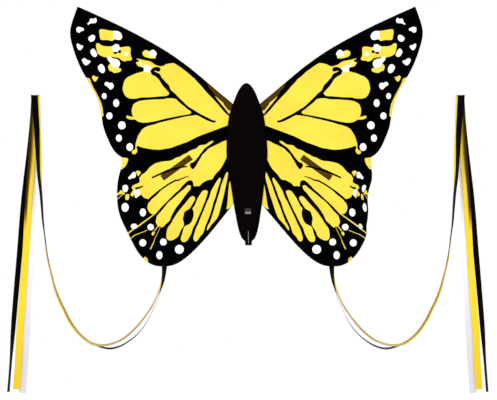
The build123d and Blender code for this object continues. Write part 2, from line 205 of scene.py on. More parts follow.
# Each finish: colour, roughness, specular level, variation, patch size, threads and the rest.
finish_settings = {
    "printed_yellow": ((0.83, 0.672, 0.066), 0.62, 0.05, (0, 0.16, 0.35), 90, ripstop, {}),
    "printed_black": ((0.0004, 0.0004, 0.0005), 0.6, 0.005, 0.3, 40, ripstop, {}),
    "printed_white": ((0.9, 0.9, 0.9), 0.6, 0.2, 0.02, 40, ripstop, {}),
    "backed_yellow": ((0.07, 0.036, 0.002), 0.65, 0.01, 0.3, 25, ripstop, {}),
    "black_cloth": ((0.0022, 0.0011, 0.0009), 0.62, 0.01, 0.3, 50, plain_weave, {}),
    "black_hem": ((0.0009, 0.0009, 0.0012), 0.55, 0.01, 0.2, 20, plain_weave, {}),
    "black_tape": ((0.0014, 0.001, 0.001), 0.7, 0.015, 0.25, 8, tape_weave, {}),
    "black_thread": ((0.004, 0.004, 0.004), 0.5, 0.05, 0.2, 3, [],
                     {"grain": 0.1, "grain_size": 0.4}),
    "black_ribbon": ((0.0014, 0.0012, 0.0013), 0.5, 0.02, 0.2, 60, satin, {}),
    # The ribbons' last colours are painted shade: yellow darkens to ochre and then near-black,
    # white greys.
    "yellow_ribbon": ((0.9, 0.66, 0.03), 0.5, 0.06, 0.05, 50, satin,
                      {"tints": [(0.42, 0.24, 0.003), (0.012, 0.007, 0.001)]}),
    "white_ribbon": ((0.88, 0.86, 0.89), 0.5, 0.2, 0.03, 50, satin,
                     {"tints": [(0.66, 0.635, 0.7)]}),
    "white_cord": ((0.36, 0.36, 0.36), 0.8, 0.1, 0.1, 3, cord_lay,
                   {"grain": 0.1, "grain_size": 0.5}),
    "grey_label": ((0.2, 0.2, 0.2), 0.75, 0.2, 0.06, 6, label_weave, {}),
    "label_ground": ((0.012, 0.012, 0.012), 0.75, 0.05, 0.1, 6, tape_weave, {}),
    "fibreglass_rod": ((0.012, 0.012, 0.013), 0.32, 0.5, 0.3, 12, [],
                       {"grain": 0.05, "grain_size": 0.8, "coat": 0.2}),
    "black_plastic": ((0.014, 0.014, 0.015), 0.42, 0.45, 0.15, 10, [],
                      {"grain": 0.12, "grain_size": 0.7}),
    "black_metal": ((0.05, 0.05, 0.055), 0.35, 0.5, 0.25, 4, [],
                    {"grain": 0.04, "grain_size": 0.6, "metallic": 0.8}),
    "floor_paint": ((0.87, 0.87, 0.87), 0.8, 0.1, 0.01, 400, [], {}),
}
finishes = {name: make_material(name, *settings[:-1], **settings[-1])
            for name, settings in finish_settings.items()}


# ---------------------------------------------------------------- mesh helpers
def add_mesh(name, points, faces, finish_names, face_finishes=None, thickness=0.0):
    """A smooth mesh object from points in millimetres; thickness adds Solidify."""
    mesh = bpy.data.meshes.new(name)
    mesh.from_pydata([tuple(c * metres for c in p) for p in points], [], faces)
    for finish in finish_names:
        mesh.materials.append(finishes[finish])
    if face_finishes is not None:
        mesh.polygons.foreach_set("material_index", face_finishes)
    mesh.polygons.foreach_set("use_smooth", [True] * len(mesh.polygons))
    mesh.update()
    piece = bpy.data.objects.new(name, mesh)
    bpy.context.scene.collection.objects.link(piece)
    if thickness:
        solid = piece.modifiers.new("thickness", "SOLIDIFY")
        solid.thickness = thickness * metres
        solid.offset = 0
        solid.use_even_offset = True
    return piece


def add_cloth(name, shape, finish_names, body, nodes=(), thickness=0.0):
    """A mesh on a body, in place of CAD nodes, with a material slot for each finish.

    shape is its points and faces, and where it has two finishes, each face's finish.
    """
    piece = add_mesh(name, *shape[:2], finish_names, *shape[2:], thickness=thickness)
    if body:
        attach(piece, body)
    if nodes:
        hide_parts(*nodes)
    return piece


def grid_faces(rows, columns, wrap=False, start=0):
    """Quads between rows of points; wrap joins each row's end to its beginning."""
    faces = []
    for row in range(rows - 1):
        for column in range(columns if wrap else columns - 1):
            following = (column + 1) % columns
            a, b = start + row * columns + column, start + row * columns + following
            faces.append((a, b, b + columns, a + columns))
    return faces


def flipped(shape, sign):
    """A shape for a side: the right side mirrors X and turns its faces over."""
    points, faces, *face_finishes = shape
    if sign == 1:
        return shape
    return ([(-x, y, z) for x, y, z in points], [tuple(reversed(face)) for face in faces],
            *face_finishes)


def smooth_line(points, step, closed=False):
    """A Catmull-Rom curve through 2D or 3D points, sampled at about a step."""
    p = np.array(points, float)
    before, after = np.roll(p, 1, 0), np.roll(p, -1, 0)
    if not closed:
        before[0], after[-1] = p[0], p[-1]
    slopes = (after - before) / 2
    result = []
    for i in range(len(p) if closed else len(p) - 1):
        j = (i + 1) % len(p)
        count = max(1, round(float(np.linalg.norm(p[j] - p[i])) / step))
        for t in np.arange(count) / count:
            result.append((2 * t**3 - 3 * t**2 + 1) * p[i] + (t**3 - 2 * t**2 + t) * slopes[i]
                          + (3 * t**2 - 2 * t**3) * p[j] + (t**3 - t**2) * slopes[j])
    if not closed:
        result.append(p[-1])
    return np.array(result)


def run_along(line):
    """The distance from an open line's start to each of its points."""
    return np.concatenate([[0], np.cumsum(np.linalg.norm(np.diff(line, axis=0), axis=1))])


def directions(line):
    """Unit vectors along an open line, at its points."""
    along = np.gradient(line, axis=0)
    return along / np.linalg.norm(along, axis=1)[:, None]


def leftwards(along):
    """2D directions turned a quarter to their left."""
    return np.stack([-along[:, 1], along[:, 0]], 1)


def offset_line(line, distance):
    """A 2D line moved to its left by a distance, or by one distance at each point."""
    return line + leftwards(directions(line)) * np.reshape(distance, (-1, 1))


def spaced_line(line, step):
    """The same open line with points at an even step."""
    line = np.array(line, float)
    run = run_along(line)
    places = np.linspace(0, run[-1], max(2, round(run[-1] / step) + 1))
    return np.stack([np.interp(places, run, line[:, k]) for k in range(line.shape[1])], 1)


def distance_to(points, line):
    """The distance from each 2D point to an open line."""
    points, line = np.asarray(points, float), np.asarray(line, float)
    best = np.full(len(points), 1e9)
    for a, b in zip(line, line[1:]):
        run = b - a
        t = np.clip((points - a) @ run / (run @ run), 0, 1)
        best = np.minimum(best, np.linalg.norm(points - a - t[:, None] * run, axis=1))
    return best


def inside(points, loop):
    """Which 2D points lie in a closed loop."""
    x, z = points[:, 0], points[:, 1]
    result = np.zeros(len(points), bool)
    for (x1, z1), (x2, z2) in zip(loop, np.roll(loop, -1, 0)):
        if z1 != z2:
            crosses = (z1 > z) != (z2 > z)
            result ^= crosses & (x < (x2 - x1) * (z - z1) / (z2 - z1) + x1)
    return result


def filled(loops, others, kind=0, precision=0.01):
    """Triangles on closed 2D loops and other points, as places and faces.

    The triangles cover everything the points span, or where kind is 1, the inside only.
    """
    points, edges = [], []
    for loop in loops:
        first = len(points)
        points += [tuple(p) for p in loop]
        edges += [(first + i, first + (i + 1) % len(loop)) for i in range(len(loop))]
    places, _, faces, *_ = delaunay_2d_cdt([Vector(p) for p in (*points, *others)], edges, [],
                                           kind, precision)
    return np.array([tuple(p) for p in places]), np.array(faces)


def ramp(value, low, high):
    """0 at low and before it, 1 at high and beyond it, smooth between."""
    t = np.clip((np.asarray(value, float) - low) / (high - low), 0, 1)
    return t * t * (3 - 2 * t)


def roughness_at(x, y, z, size):
    """Smooth noise between -1 and 1 with features of a size in millimetres."""
    return noise.noise(Vector((x, y, z)) / size)


def nurbs_line(name, points, steps):
    """The line of a NURBS curve on control points, with so many steps to each."""
    data = bpy.data.curves.new(name, "CURVE")
    data.dimensions = "3D"
    data.resolution_u = steps
    spline = data.splines.new("NURBS")
    spline.points.add(len(points) - 1)
    for control, place in zip(spline.points, points):
        control.co = (*place, 1)
    spline.order_u = 3
    spline.use_endpoint_u = True
    curve = bpy.data.objects.new(name, data)
    bpy.context.scene.collection.objects.link(curve)
    bpy.context.view_layer.update()
    mesh = bpy.data.meshes.new_from_object(curve)
    line = np.array([v.co for v in mesh.vertices])
    bpy.data.objects.remove(curve)
    bpy.data.meshes.remove(mesh)
    return line


# ---------------------------------------------------------------- how the cloth hangs
right_lean, right_drift = 12.0, -1.5  # the right lobe, and its ribbons from there, hang out
ripple_slope, ripple_round, ripple_step = math.radians(62), 12.0, 2.0  # of its outer edge
body_lean = 0.0162  # the body's lower end hangs a little to the right


def settled(points, sign):
    """The left wing's points as the side hangs: the right lobe leans out, its edge in a ripple.

    The ripple starts at its foot, comes forward to its ridge and falls back to the edge.
    """
    if sign == 1:
        return points
    result = []
    for x, y, z in points:
        held = float(ramp(-z, 150, 340) ** 0.85 * (1 - ramp(-z, 400, 490)))
        outwards = float(ramp(-z, 256, 348))
        foot = -366 - 28 * outwards
        ridge = -420 - 13 * outwards + 20 * float(ramp(-z, 385, 450))
        if held > 0 and x < foot:
            places = np.arange(0, foot - x, ripple_step) + ripple_step / 2
            steps = np.full(len(places), ripple_step)
            steps[-1] -= len(places) * ripple_step - (foot - x)
            back = ramp(places, foot - ridge - ripple_round, foot - ridge + ripple_round)
            slopes = ripple_slope * held * (ramp(places, 0, ripple_round) - 2 * back)
            x = foot - float((steps * np.cos(slopes)).sum())
            y -= float((steps * np.sin(slopes)).sum())
        result.append((x - right_lean * float(ramp(-z, 190, 440)), y, z))
    return result


def leaned(points):
    """Points of the body's cloth, moved to the right by its lean."""
    return [(x + body_lean * max(0.0, -z), y, z) for x, y, z in points]


# ---------------------------------------------------------------- ribbons
# Each left ribbon's route, (x, z, y, seen): seen is how much of its width faces the front.
# Black passes behind the other two at the bottom of their loop and before them again above.
ribbon_routes = {
    "black": [(-302, -554, 50, 20), (-303.5, -582, 46, 15), (-308, -612, 43, 10.5),
              (-315.5, -640, 42, 5), (-321, -660, 42, 1), (-327, -680, 42, 0.5),
              (-346, -720, 42, 0.8), (-374, -771.5, 42, 2), (-404.5, -807.5, 44, 3),
              (-434.5, -831.5, 49, 3.8), (-465, -849, 55, 5), (-500, -858, 61.5, 6),
              (-532, -853.5, 65.3, 5.4), (-559, -843, 65.7, 4), (-596, -820, 65.7, 1.2),
              (-623, -794, 65.7, 0.5), (-651.5, -752, 65.7, 0.4), (-686, -683, 65.7, 0.4),
              (-705, -631, 65.7, 0.4), (-719.5, -575, 65.7, 0.4), (-733.3, -510, 62, 0.5),
              (-740.6, -448, 50, 1.2), (-748, -392, 43, 5), (-755, -293, 38, 8.5),
              (-763, -222, 38, 10.5), (-766, -166, 38, 12.5), (-768.5, -109, 40, 16.5),
              (-770.5, -55, 42, 19), (-773.5, -16, 44, 20.5), (-780, 65, 48, 25.2),
              (-780.5, 65, 64, 25), (-786, -17, 66, 24), (-797, -127, 66, 24),
              (-818.5, -311, 65, 23), (-835, -495, 63, 19.5), (-851, -680, 61, 18),
              (-860, -790, 60, 15.5), (-868, -900, 58, 8), (-877, -1018, 56, 7)],
    "yellow": [(-302.5, -554, 54, 19.5), (-308, -582, 61, 9), (-314, -612, 65.5, 5),
               (-322, -642, 65.5, 4.4), (-333.5, -672, 65.5, 4.4), (-345, -695, 65.5, 4.5),
               (-363, -724.5, 65.5, 4.6), (-389, -758.5, 65.5, 4.8), (-419.5, -792, 65, 4.8),
               (-457, -822.5, 61, 4.8), (-494.5, -839, 52, 4.8), (-524.5, -844.5, 44, 4.8),
               (-547, -843.5, 40, 5), (-572, -836, 39, 6), (-599.5, -817.5, 39, 7.5),
               (-625, -792, 39, 8.4), (-652, -752, 39, 9), (-671, -713, 39, 8.6),
               (-687, -680, 39, 8), (-703, -637, 39, 6), (-718.5, -578, 40, 4.4),
               (-731, -530, 42, 2.0), (-738.6, -480, 48, 0.5), (-741.8, -450, 52, 0.5),
               (-749, -392, 55, 1.6), (-754, -320, 55, 4), (-756.5, -282, 54, 6),
               (-758, -245, 53, 9.6), (-760, -166, 53, 13), (-763.5, -95, 53, 17),
               (-769, -17, 53, 20), (-772, 64, 53, 23.6), (-774, 64, 60, 25),
               (-784, -17, 60.5, 25.8), (-789, -127, 60.5, 25.9), (-802, -311, 60, 25.9),
               (-812.3, -495, 58, 24), (-826, -680, 57, 25.9), (-834.5, -790, 56, 25.9),
               (-839, -900, 55, 25.9), (-846, -1008, 54, 25.9)],
    "white": [(-302, -554, 58, 19), (-306, -582, 65, 8), (-312.5, -618, 66, 2),
              (-321, -650, 66, 1.4), (-338, -691, 65, 1.4), (-361.5, -727, 65, 1.6),
              (-387, -761, 65.5, 2.4), (-417.5, -795, 65, 2.4), (-455.5, -825.5, 61.5, 2.4),
              (-494, -842, 53, 2.4), (-524.5, -847.5, 45, 2.4), (-549, -846.5, 41, 2.6),
              (-575, -838.5, 40, 3), (-602, -819.5, 40, 3), (-628, -793.5, 40, 3),
              (-655, -753.5, 40, 3), (-674, -714.5, 40, 3), (-690, -681.5, 40, 3),
              (-706, -637.5, 40, 2.4), (-721, -578, 41, 1.6), (-732.3, -530, 44, 1.0),
              (-739.8, -480, 50, 0.5), (-743, -450, 54, 0.5), (-750.5, -392, 60, 1),
              (-755, -310, 61, 3), (-758, -220, 60, 7), (-762, -127, 58, 10.5),
              (-769, -17, 56, 18), (-771, 59, 55.5, 20), (-771, 59, 59, 22),
              (-768, -17, 65.5, 25), (-776, -75, 67, 25.8), (-782, -127, 67, 25.9),
              (-791, -311, 66.5, 25.9), (-797.5, -495, 65, 25.9), (-806.5, -680, 64, 25.9),
              (-811, -790, 63, 25.9), (-817, -900, 62, 25.9), (-826, -1022, 61, 25.9)],
}
ribbon_width, ribbon_thickness = 26.0, 0.35
ribbon_columns = np.linspace(-0.5, 0.5, 13)  # places across a ribbon, as shares of its width


def ribbon_painted_shade(colour, height, run, past_fold):
    """How far each point of a ribbon is towards its painted shade colours.

    White is painted greyer towards its lower end as shade. Past its fold, yellow is painted dark
    as shade on the side where the black ribbon lies behind it, near the fold and a little at its
    end;
    before it, along its rising leg.
    """
    if colour == "white":
        # painted shade: white greys towards its lower end, past the fold
        return past_fold * ramp(height, -420, -950) * np.ones(len(ribbon_columns))
    lower = ramp(height, -127, -311)  # where the dark side has a crisper edge
    shaded_columns = ramp(ribbon_columns, 0.3 - 0.33 * lower, -0.25 + 0.03 * lower)
    # painted shade on the side where the black ribbon lies behind, fading out lower down
    shade_by_black = 0.97 * shaded_columns * ramp(height, -440, -330)
    # painted shade near the fold, and a little at the lower end
    fold_shade = 0.6 * ramp(height, -110, -50) + 0.25 * ramp(height, -50, 10)
    end_shade = 0.13 * ramp(height, -600, -1000)
    hanging = np.maximum(np.maximum(shade_by_black, fold_shade), end_shade)
    # painted shade along the rising leg, stronger across one half of its width
    inner = 0.4 + 0.6 * ramp(ribbon_columns, -0.3, 0.0)[None, :]
    rising = 0.56 * inner * ramp(height, -430, -520) * ramp(run, 60, 160)[:, None]
    return np.where(past_fold, hanging, rising)


def add_ribbon(colour, side, sign):
    """A flat ribbon on its route, cupped a little across its width."""
    route_step, cup, flutter_share, flutter_size = 3.5, 0.6, 0.5, 45
    route = smooth_line([(x, y, z, seen) for x, z, y, seen in ribbon_routes[colour]], route_step)
    line, turned = route[:, :3], np.clip(route[:, 3:] / ribbon_width, 0, 1)
    run = run_along(line)
    if side == "right":
        line[:, 0] -= right_lean + right_drift * ramp(run, 10, 250)
    along = directions(line)
    hanging = np.arange(len(line))[:, None] > np.argmax(line[:, 2])
    upright = np.linalg.norm(along[:, ::2], axis=1)[:, None]  # 0 where the ribbon folds back
    beside = np.cross((0, 1, 0), along) * np.where(hanging, -1, 1) * upright
    beside += (1 - upright) * (1, 0, 0)
    beside /= np.linalg.norm(beside, axis=1)[:, None]
    across = np.sqrt(1 - turned**2) * (0, 1, 0) + turned * beside
    across -= along * (across * along).sum(1)[:, None]
    across /= np.linalg.norm(across, axis=1)[:, None]
    over = np.cross(along, across)
    points = []
    for i, centre in enumerate(line):
        x, y, z = centre
        flutter = flutter_share * roughness_at(x * sign, y, z, flutter_size)
        for u in ribbon_columns:
            lift = cup * (4 * u * u - 0.5) + flutter * u
            points.append(centre + across[i] * u * ribbon_width + over[i] * lift)
    piece = add_cloth(f"{side}_{colour}_streamer",
                      flipped((points, grid_faces(len(line), len(ribbon_columns))), sign),
                      [f"{colour}_ribbon"], f"{side}_wing", [f"{side}_ribbon_{colour}"],
                      ribbon_thickness)
    # painted shade: ribbons with shade colours get a per-point share of painted shade
    if finish_settings[f"{colour}_ribbon"][-1]:
        painted_shade = ribbon_painted_shade(colour, line[:, 2:], run, hanging)
        attribute = piece.data.attributes.new("painted_shade", "FLOAT", "POINT")
        attribute.data.foreach_set("value", painted_shade.astype(np.float32).ravel())
    line = line * (sign, 1, 1)


for side, sign in sides.items():
    for colour in ribbon_routes:
        add_ribbon(colour, side, sign)


# ---------------------------------------------------------------- the print on the left wing
# Closed outlines (x, z), painted in this order; a later one covers an earlier one.
print_shift = 3  # the outlines were drawn this far to the left of the sail

fore_cell = [
    (-410, 211), (-400, 209.7), (-380, 205), (-360, 201), (-350, 196), (-339, 188),
    (-328.7, 184.6), (-318.5, 182), (-310, 183.6), (-302, 188), (-294, 191), (-283.6, 193),
    (-273, 194), (-265, 191), (-253, 183.6), (-242.5, 176.4), (-232, 168.7), (-222, 161),
    (-212, 152), (-201.5, 142.6), (-191, 134.4), (-183, 124), (-168.7, 109.5), (-158.5, 97),
    (-148, 85), (-138, 74.6), (-127.7, 64.4), (-117.4, 53), (-107, 41.8), (-97, 29.5),
    (-86.7, 17), (-76.4, 7), (-67, -1.3), (-62, -10), (-62, -30), (-68, -37),
    (-76, -38.6), (-99, -47.4), (-121.5, -55.6), (-144, -64), (-162.6, -71), (-183, -79),
    (-199.5, -87.4), (-220, -97.7), (-240.5, -105), (-260, -112), (-281.5, -120),
    (-300, -123), (-320.5, -126.4), (-339, -126.4), (-359.5, -124), (-385, -119),
    (-399.5, -114), (-404.6, -112.5), (-407.7, -115), (-406.7, -120), (-404, -128.5),
    (-406.7, -136.7), (-411.8, -141.8), (-418, -143.4), (-424, -140.4), (-426.6, -134.6),
    (-424, -129), (-416, -125.4), (-412.8, -121), (-412.8, -112), (-411.8, -101.8),
    (-407.7, -87.4), (-403.6, -75), (-397.4, -65), (-391, -54.6), (-383, -46.4),
    (-372.8, -40.3), (-360.5, -36), (-340, -31), (-328.7, -27), (-310, -21.8), (-294, -18),
    (-277, -14), (-257, -9.5), (-236, -4.4), (-220, -1.3), (-203.6, 0.8), (-189, 2.4),
    (-180, 0), (-164.6, -8.5), (-144, -18.7), (-127.7, -24.3), (-119.5, -24.9),
    (-115.4, -21.8), (-118.5, -19.3), (-127.7, -18), (-144, -9.5), (-164.6, 0.8), (-183, 11),
    (-199.5, 21.3), (-209.7, 27.4), (-220, 34.6), (-232, 46), (-244.6, 58), (-257, 70.5),
    (-267, 81), (-277, 89), (-283.6, 97), (-289.7, 111.5), (-300, 121.5), (-308, 131),
    (-316, 140), (-320.5, 149), (-325.6, 154.4), (-333.8, 157.8), (-340, 161), (-343, 164),
    (-342, 166.7), (-337, 165.6), (-330.8, 163.6), (-323.6, 163), (-320.5, 167.7),
    (-321.5, 173.8), (-326.7, 177.5), (-335, 178.4), (-342, 177), (-349, 172.8),
    (-355.4, 166.7), (-358.5, 161.5), (-379.4, 161), (-383, 165.6), (-382, 169.7),
    (-383, 176), (-391, 178), (-401.5, 181), (-408.7, 190), (-411.4, 195), (-404, 199),
    (-398, 202), (-404, 205)]
oval_cell = [
    (-460, 100), (-458, 112), (-455, 124.6), (-448.7, 135), (-438.5, 144), (-424, 150),
    (-409.7, 156.4), (-395.4, 160), (-380, 164), (-357.4, 163), (-352, 153.3), (-346, 149),
    (-340, 146), (-332.8, 141), (-324.6, 132.8), (-318.5, 122.6), (-310, 110), (-302, 101),
    (-298, 97), (-289.7, 87), (-286.7, 81), (-291.8, 74.6), (-300, 71), (-318.5, 70),
    (-339, 68.5), (-359.5, 66.4), (-380, 66), (-393, 65.4), (-405.6, 62.3), (-422, 61.3),
    (-434.4, 62.7), (-444.6, 67.4), (-452.8, 76.7), (-458, 89)]
middle_cell = [
    (-441.5, 1.8), (-445.6, -1.3), (-446.7, -5.4), (-444.6, -9.5), (-437.4, -13.6),
    (-428, -15.6), (-413.8, -15.6), (-407.7, -19.7), (-399.5, -23.8), (-387, -26.9),
    (-372.8, -26.9), (-356.4, -24.9), (-339, -21.4), (-318.5, -16.7), (-298, -11.5),
    (-277.4, -7.4), (-257, -3.3), (-236.4, 0.4), (-220, 3.2), (-209.7, 5.9), (-206, 9),
    (-205.6, 13), (-209.7, 18.2), (-220, 24.4), (-230, 33.6), (-240.5, 41.8), (-250.8, 50),
    (-257, 57), (-263, 61.3), (-271, 64), (-283.6, 64.8), (-298, 64), (-308, 61.3),
    (-339, 60.3), (-359.5, 59.2), (-387, 56.6), (-401.5, 53), (-411.8, 48), (-420, 41.8),
    (-424, 31.5), (-426.6, 21.3), (-426, 11), (-424, 0.8), (-420.4, -4.4), (-428, -2.3),
    (-436.4, -1.3)]
tip_cell = [
    (-546, 313), (-541, 318.5), (-524.6, 317.4), (-500, 313), (-479.5, 312.3), (-469, 308),
    (-462, 300), (-459.4, 288.7), (-463, 282.6), (-468, 278), (-479.5, 278), (-488.7, 280.5),
    (-496, 274), (-506, 275.4), (-516, 277.4), (-539, 278), (-543, 286.7), (-545, 297)]
flash_cell = [
    (-557.4, 265), (-549, 267.8), (-541, 263), (-532.8, 258), (-518.5, 256), (-500, 256),
    (-492, 260), (-487.7, 263.7), (-475.4, 263), (-471.3, 258), (-469, 252), (-455, 253.5),
    (-444.6, 255), (-434.4, 254), (-429, 247.7), (-429, 227), (-427, 217), (-424, 210.8),
    (-425, 204.6), (-432, 201.5), (-442.6, 201.5), (-450.8, 198.5), (-459, 200.5),
    (-465, 203.6), (-471.3, 209.7), (-479.5, 212.8), (-489.7, 213.8), (-498, 215),
    (-505, 217), (-517.4, 214), (-526.7, 215), (-541, 220.5), (-551, 228), (-555, 240),
    (-557.4, 252.8)]
drop_cell = [
    (-517.4, 213), (-512, 218), (-502, 218), (-496, 211.8), (-483.6, 209.7), (-474.4, 205.6),
    (-469, 198.5), (-468, 190), (-470.3, 182), (-474.4, 177), (-465, 174), (-463, 168.7),
    (-466, 162.6), (-471.3, 159.5), (-481.5, 157), (-491.8, 156.4), (-498, 161.5),
    (-508, 164.6), (-512.7, 173.8), (-513.3, 182), (-509, 189), (-504, 193.3),
    (-508, 196.4), (-514.4, 204.6)]
crown_cell = [
    (-387, 229), (-384, 237), (-377, 241.5), (-369.7, 241.5), (-364.6, 239), (-360.5, 236.4),
    (-355.4, 240), (-348, 243), (-341, 241), (-335, 234), (-332, 226.7), (-336, 219),
    (-337, 211), (-341, 209), (-357.4, 210), (-369.7, 212.8), (-378, 216), (-384.6, 221.5)]
outer_sliver = [
    (-620, 150), (-596.4, 142), (-581, 137), (-575, 124), (-565.6, 103), (-557.4, 89),
    (-548, 70.5), (-540, 54), (-535, 39.7), (-532, 25.4), (-530.4, 9), (-531, -3),
    (-560, -10), (-600, 60)]
notch_bit = [
    (-480, -148), (-463, -153), (-455, -154), (-439, -158), (-440.5, -172), (-446.7, -184.6),
    (-457, -196), (-468, -200), (-500, -200), (-500, -160)]
shoulder_sliver = [
    (-119, 72), (-111, 68), (-100.5, 58), (-90, 50), (-82, 37), (-74, 27), (-67.7, 19),
    (-61.5, 20), (-63.6, 6.7), (-67.7, 5.6), (-78, 19), (-88, 31), (-98.5, 43.6),
    (-108.7, 56), (-116, 66)]
shoulder_wedge = [
    (-160, 134), (-150, 122), (-139.5, 101), (-129, 91), (-119, 74), (-111, 69),
    (-100.5, 59), (-90, 50), (-82, 38.5), (-74, 29), (-67.7, 21), (-61, 20), (-50, 24),
    (-50, 50), (-100, 90), (-150, 135)]
lower_fan = [
    (-64, -84), (-74.4, -89.5), (-92.8, -95.6), (-99, -99.7), (-113, -106), (-134, -116),
    (-144, -122), (-156, -135), (-165, -143), (-173, -157), (-181, -169.5), (-191, -187),
    (-200.5, -197), (-208.7, -188.7), (-210.8, -181.5), (-207.7, -176.4), (-197.4, -172),
    (-187, -162), (-172, -142), (-155, -121), (-134, -106), (-124, -97), (-123.6, -92.6),
    (-134, -93.6), (-144, -99.7), (-154, -106), (-175, -109), (-181, -114), (-189, -121),
    (-201.5, -125.4), (-212, -129.5), (-222, -136.7), (-236, -142.8), (-246.7, -150),
    (-261, -154), (-273, -161), (-287.7, -166.4), (-302, -167.4), (-318.5, -170),
    (-338, -175), (-350, -182.6), (-360.5, -190.8), (-368.7, -201), (-379, -211),
    (-389, -217.4), (-394.4, -224.6), (-398.5, -231.8), (-396.8, -242), (-401.5, -248),
    (-411.8, -252), (-421, -256.4), (-426, -262.6), (-425.7, -269.7), (-421, -273.8),
    (-426, -281), (-431, -289), (-429, -295.4), (-409.7, -304.6), (-401.5, -299.5),
    (-392.3, -292.3), (-387, -297.4), (-379, -304.6), (-368.7, -307.3), (-356, -312),
    (-364.6, -322), (-368.3, -334.4), (-367.7, -344.6), (-362.6, -355), (-356, -362),
    (-348, -364.7), (-340, -365), (-332, -357), (-321.5, -344.6), (-309, -331),
    (-290, -312), (-279.5, -301.5), (-263, -285), (-251, -275), (-238.5, -260.5),
    (-224, -246), (-216, -240), (-206.7, -239.6), (-201.5, -244), (-199.5, -250),
    (-197.4, -261.5), (-188, -260.5), (-177, -261), (-172.8, -258.5), (-166.7, -251),
    (-156, -244), (-146, -239), (-136, -237.5), (-127.7, -234), (-119.5, -221.5),
    (-109, -209), (-100, -200), (-88.7, -182.6), (-82.6, -170), (-74.9, -155), (-64, -140)]
ray_cells = [
    [(-207, -262.6), (-207, -258.5), (-216, -255.4), (-222, -258.5), (-230, -266.7),
     (-242.6, -277), (-259, -291), (-275, -305.6), (-290, -318), (-307, -338.5),
     (-317, -351), (-332.8, -369), (-336, -379.5), (-338, -392), (-335, -400),
     (-329.7, -409), (-321.5, -407), (-315, -414), (-307, -409), (-299, -400),
     (-287, -390), (-282, -380), (-277, -367), (-263, -342.6), (-248.7, -324),
     (-232, -301.5), (-220, -285), (-209.7, -272.8)],
    [(-192, -301.5), (-197.4, -296.4), (-203.6, -296.4), (-212, -301.5), (-222, -314),
     (-232, -326), (-244.6, -340.5), (-259, -359), (-273, -381.5), (-283.6, -400),
     (-294, -414), (-297, -424.6), (-299, -443), (-297, -453), (-290, -460.5),
     (-279.5, -461), (-269, -457), (-257, -449), (-251, -441), (-244.6, -424.6),
     (-232.5, -404), (-236, -381.5), (-234, -369), (-230, -355), (-222, -350),
     (-212, -343.6), (-205.6, -334), (-197, -320), (-192, -310)],
    [(-144, -281), (-147, -276), (-156, -274), (-166.7, -279), (-175, -291), (-183, -303.6),
     (-189, -318), (-195, -332), (-202.6, -342.6), (-198.5, -355), (-199.5, -373),
     (-204.6, -387.7), (-212, -398), (-224, -404), (-232, -409), (-236, -418.5),
     (-240.5, -435), (-244.6, -447), (-245.6, -457), (-240.5, -465.6), (-232, -467),
     (-222, -462.6), (-214, -451), (-205.6, -435), (-199.5, -416), (-191, -400),
     (-183, -383.6), (-177, -369), (-168.7, -351), (-160.5, -330), (-154, -314),
     (-148, -295)],
    [(-97, -231), (-103, -228.7), (-109, -236), (-117, -248), (-125.6, -262.6),
     (-134, -279), (-140, -299.5), (-148, -316), (-156, -336), (-164.6, -357),
     (-173, -377), (-181, -398), (-189, -414), (-195, -433), (-199.5, -451),
     (-197, -460.5), (-191, -465.6), (-183, -461.5), (-175, -449), (-162.6, -435),
     (-158.5, -424.6), (-152, -404), (-144, -385.6), (-136, -365), (-129.7, -344.6),
     (-123.6, -320), (-117, -303.6), (-111, -283), (-105, -262.6), (-98, -242)],
    [(-70, -210), (-73, -206.8), (-79.5, -213), (-84.6, -225.6), (-91, -242), (-97, -258.5),
     (-101, -275), (-107, -295), (-113, -314), (-119.5, -334), (-125.6, -355),
     (-132, -375), (-138, -392), (-146, -406), (-150, -421.5), (-147, -424), (-138, -414),
     (-132, -404), (-119.5, -390), (-109, -377), (-103, -361), (-97, -340.5), (-91, -316),
     (-84.6, -291), (-78.5, -262.6), (-73, -238), (-70.3, -219.5)],
    [(-64, -241), (-67, -248), (-70, -273), (-72, -299.5), (-74.4, -328), (-77.4, -345),
     (-66, -342), (-48.7, -324), (-54, -293), (-60, -242)]]
yellow_spots = [
    [(-349, -427.7), (-341, -426.7), (-341, -435), (-344, -441), (-349, -444), (-353, -440),
     (-352, -433)],
    [(-411, -206), (-401.5, -202), (-393, -206), (-391, -211), (-397, -218.5),
     (-402.6, -224.6)],
    [(-410, -560), (-382, -523.6), (-377, -519.5), (-369.7, -523.6), (-364.6, -532),
     (-365.6, -538), (-366, -560)],
    [(-520, -291), (-478.5, -285), (-465, -274), (-449, -291), (-469, -291), (-490, -300)],
    [(-447.7, -291), (-435.4, -289), (-434, -301.5), (-438.5, -311), (-448.7, -311),
     (-450.4, -301.5)],
    [(-421, -277), (-416, -279), (-414, -296), (-418, -300), (-426, -290)],
    [(-571.8, 145), (-566.7, 149), (-557.4, 144), (-549, 143), (-551, 135),
     (-558.5, 124.6), (-565.6, 126.7), (-571.8, 137)]]
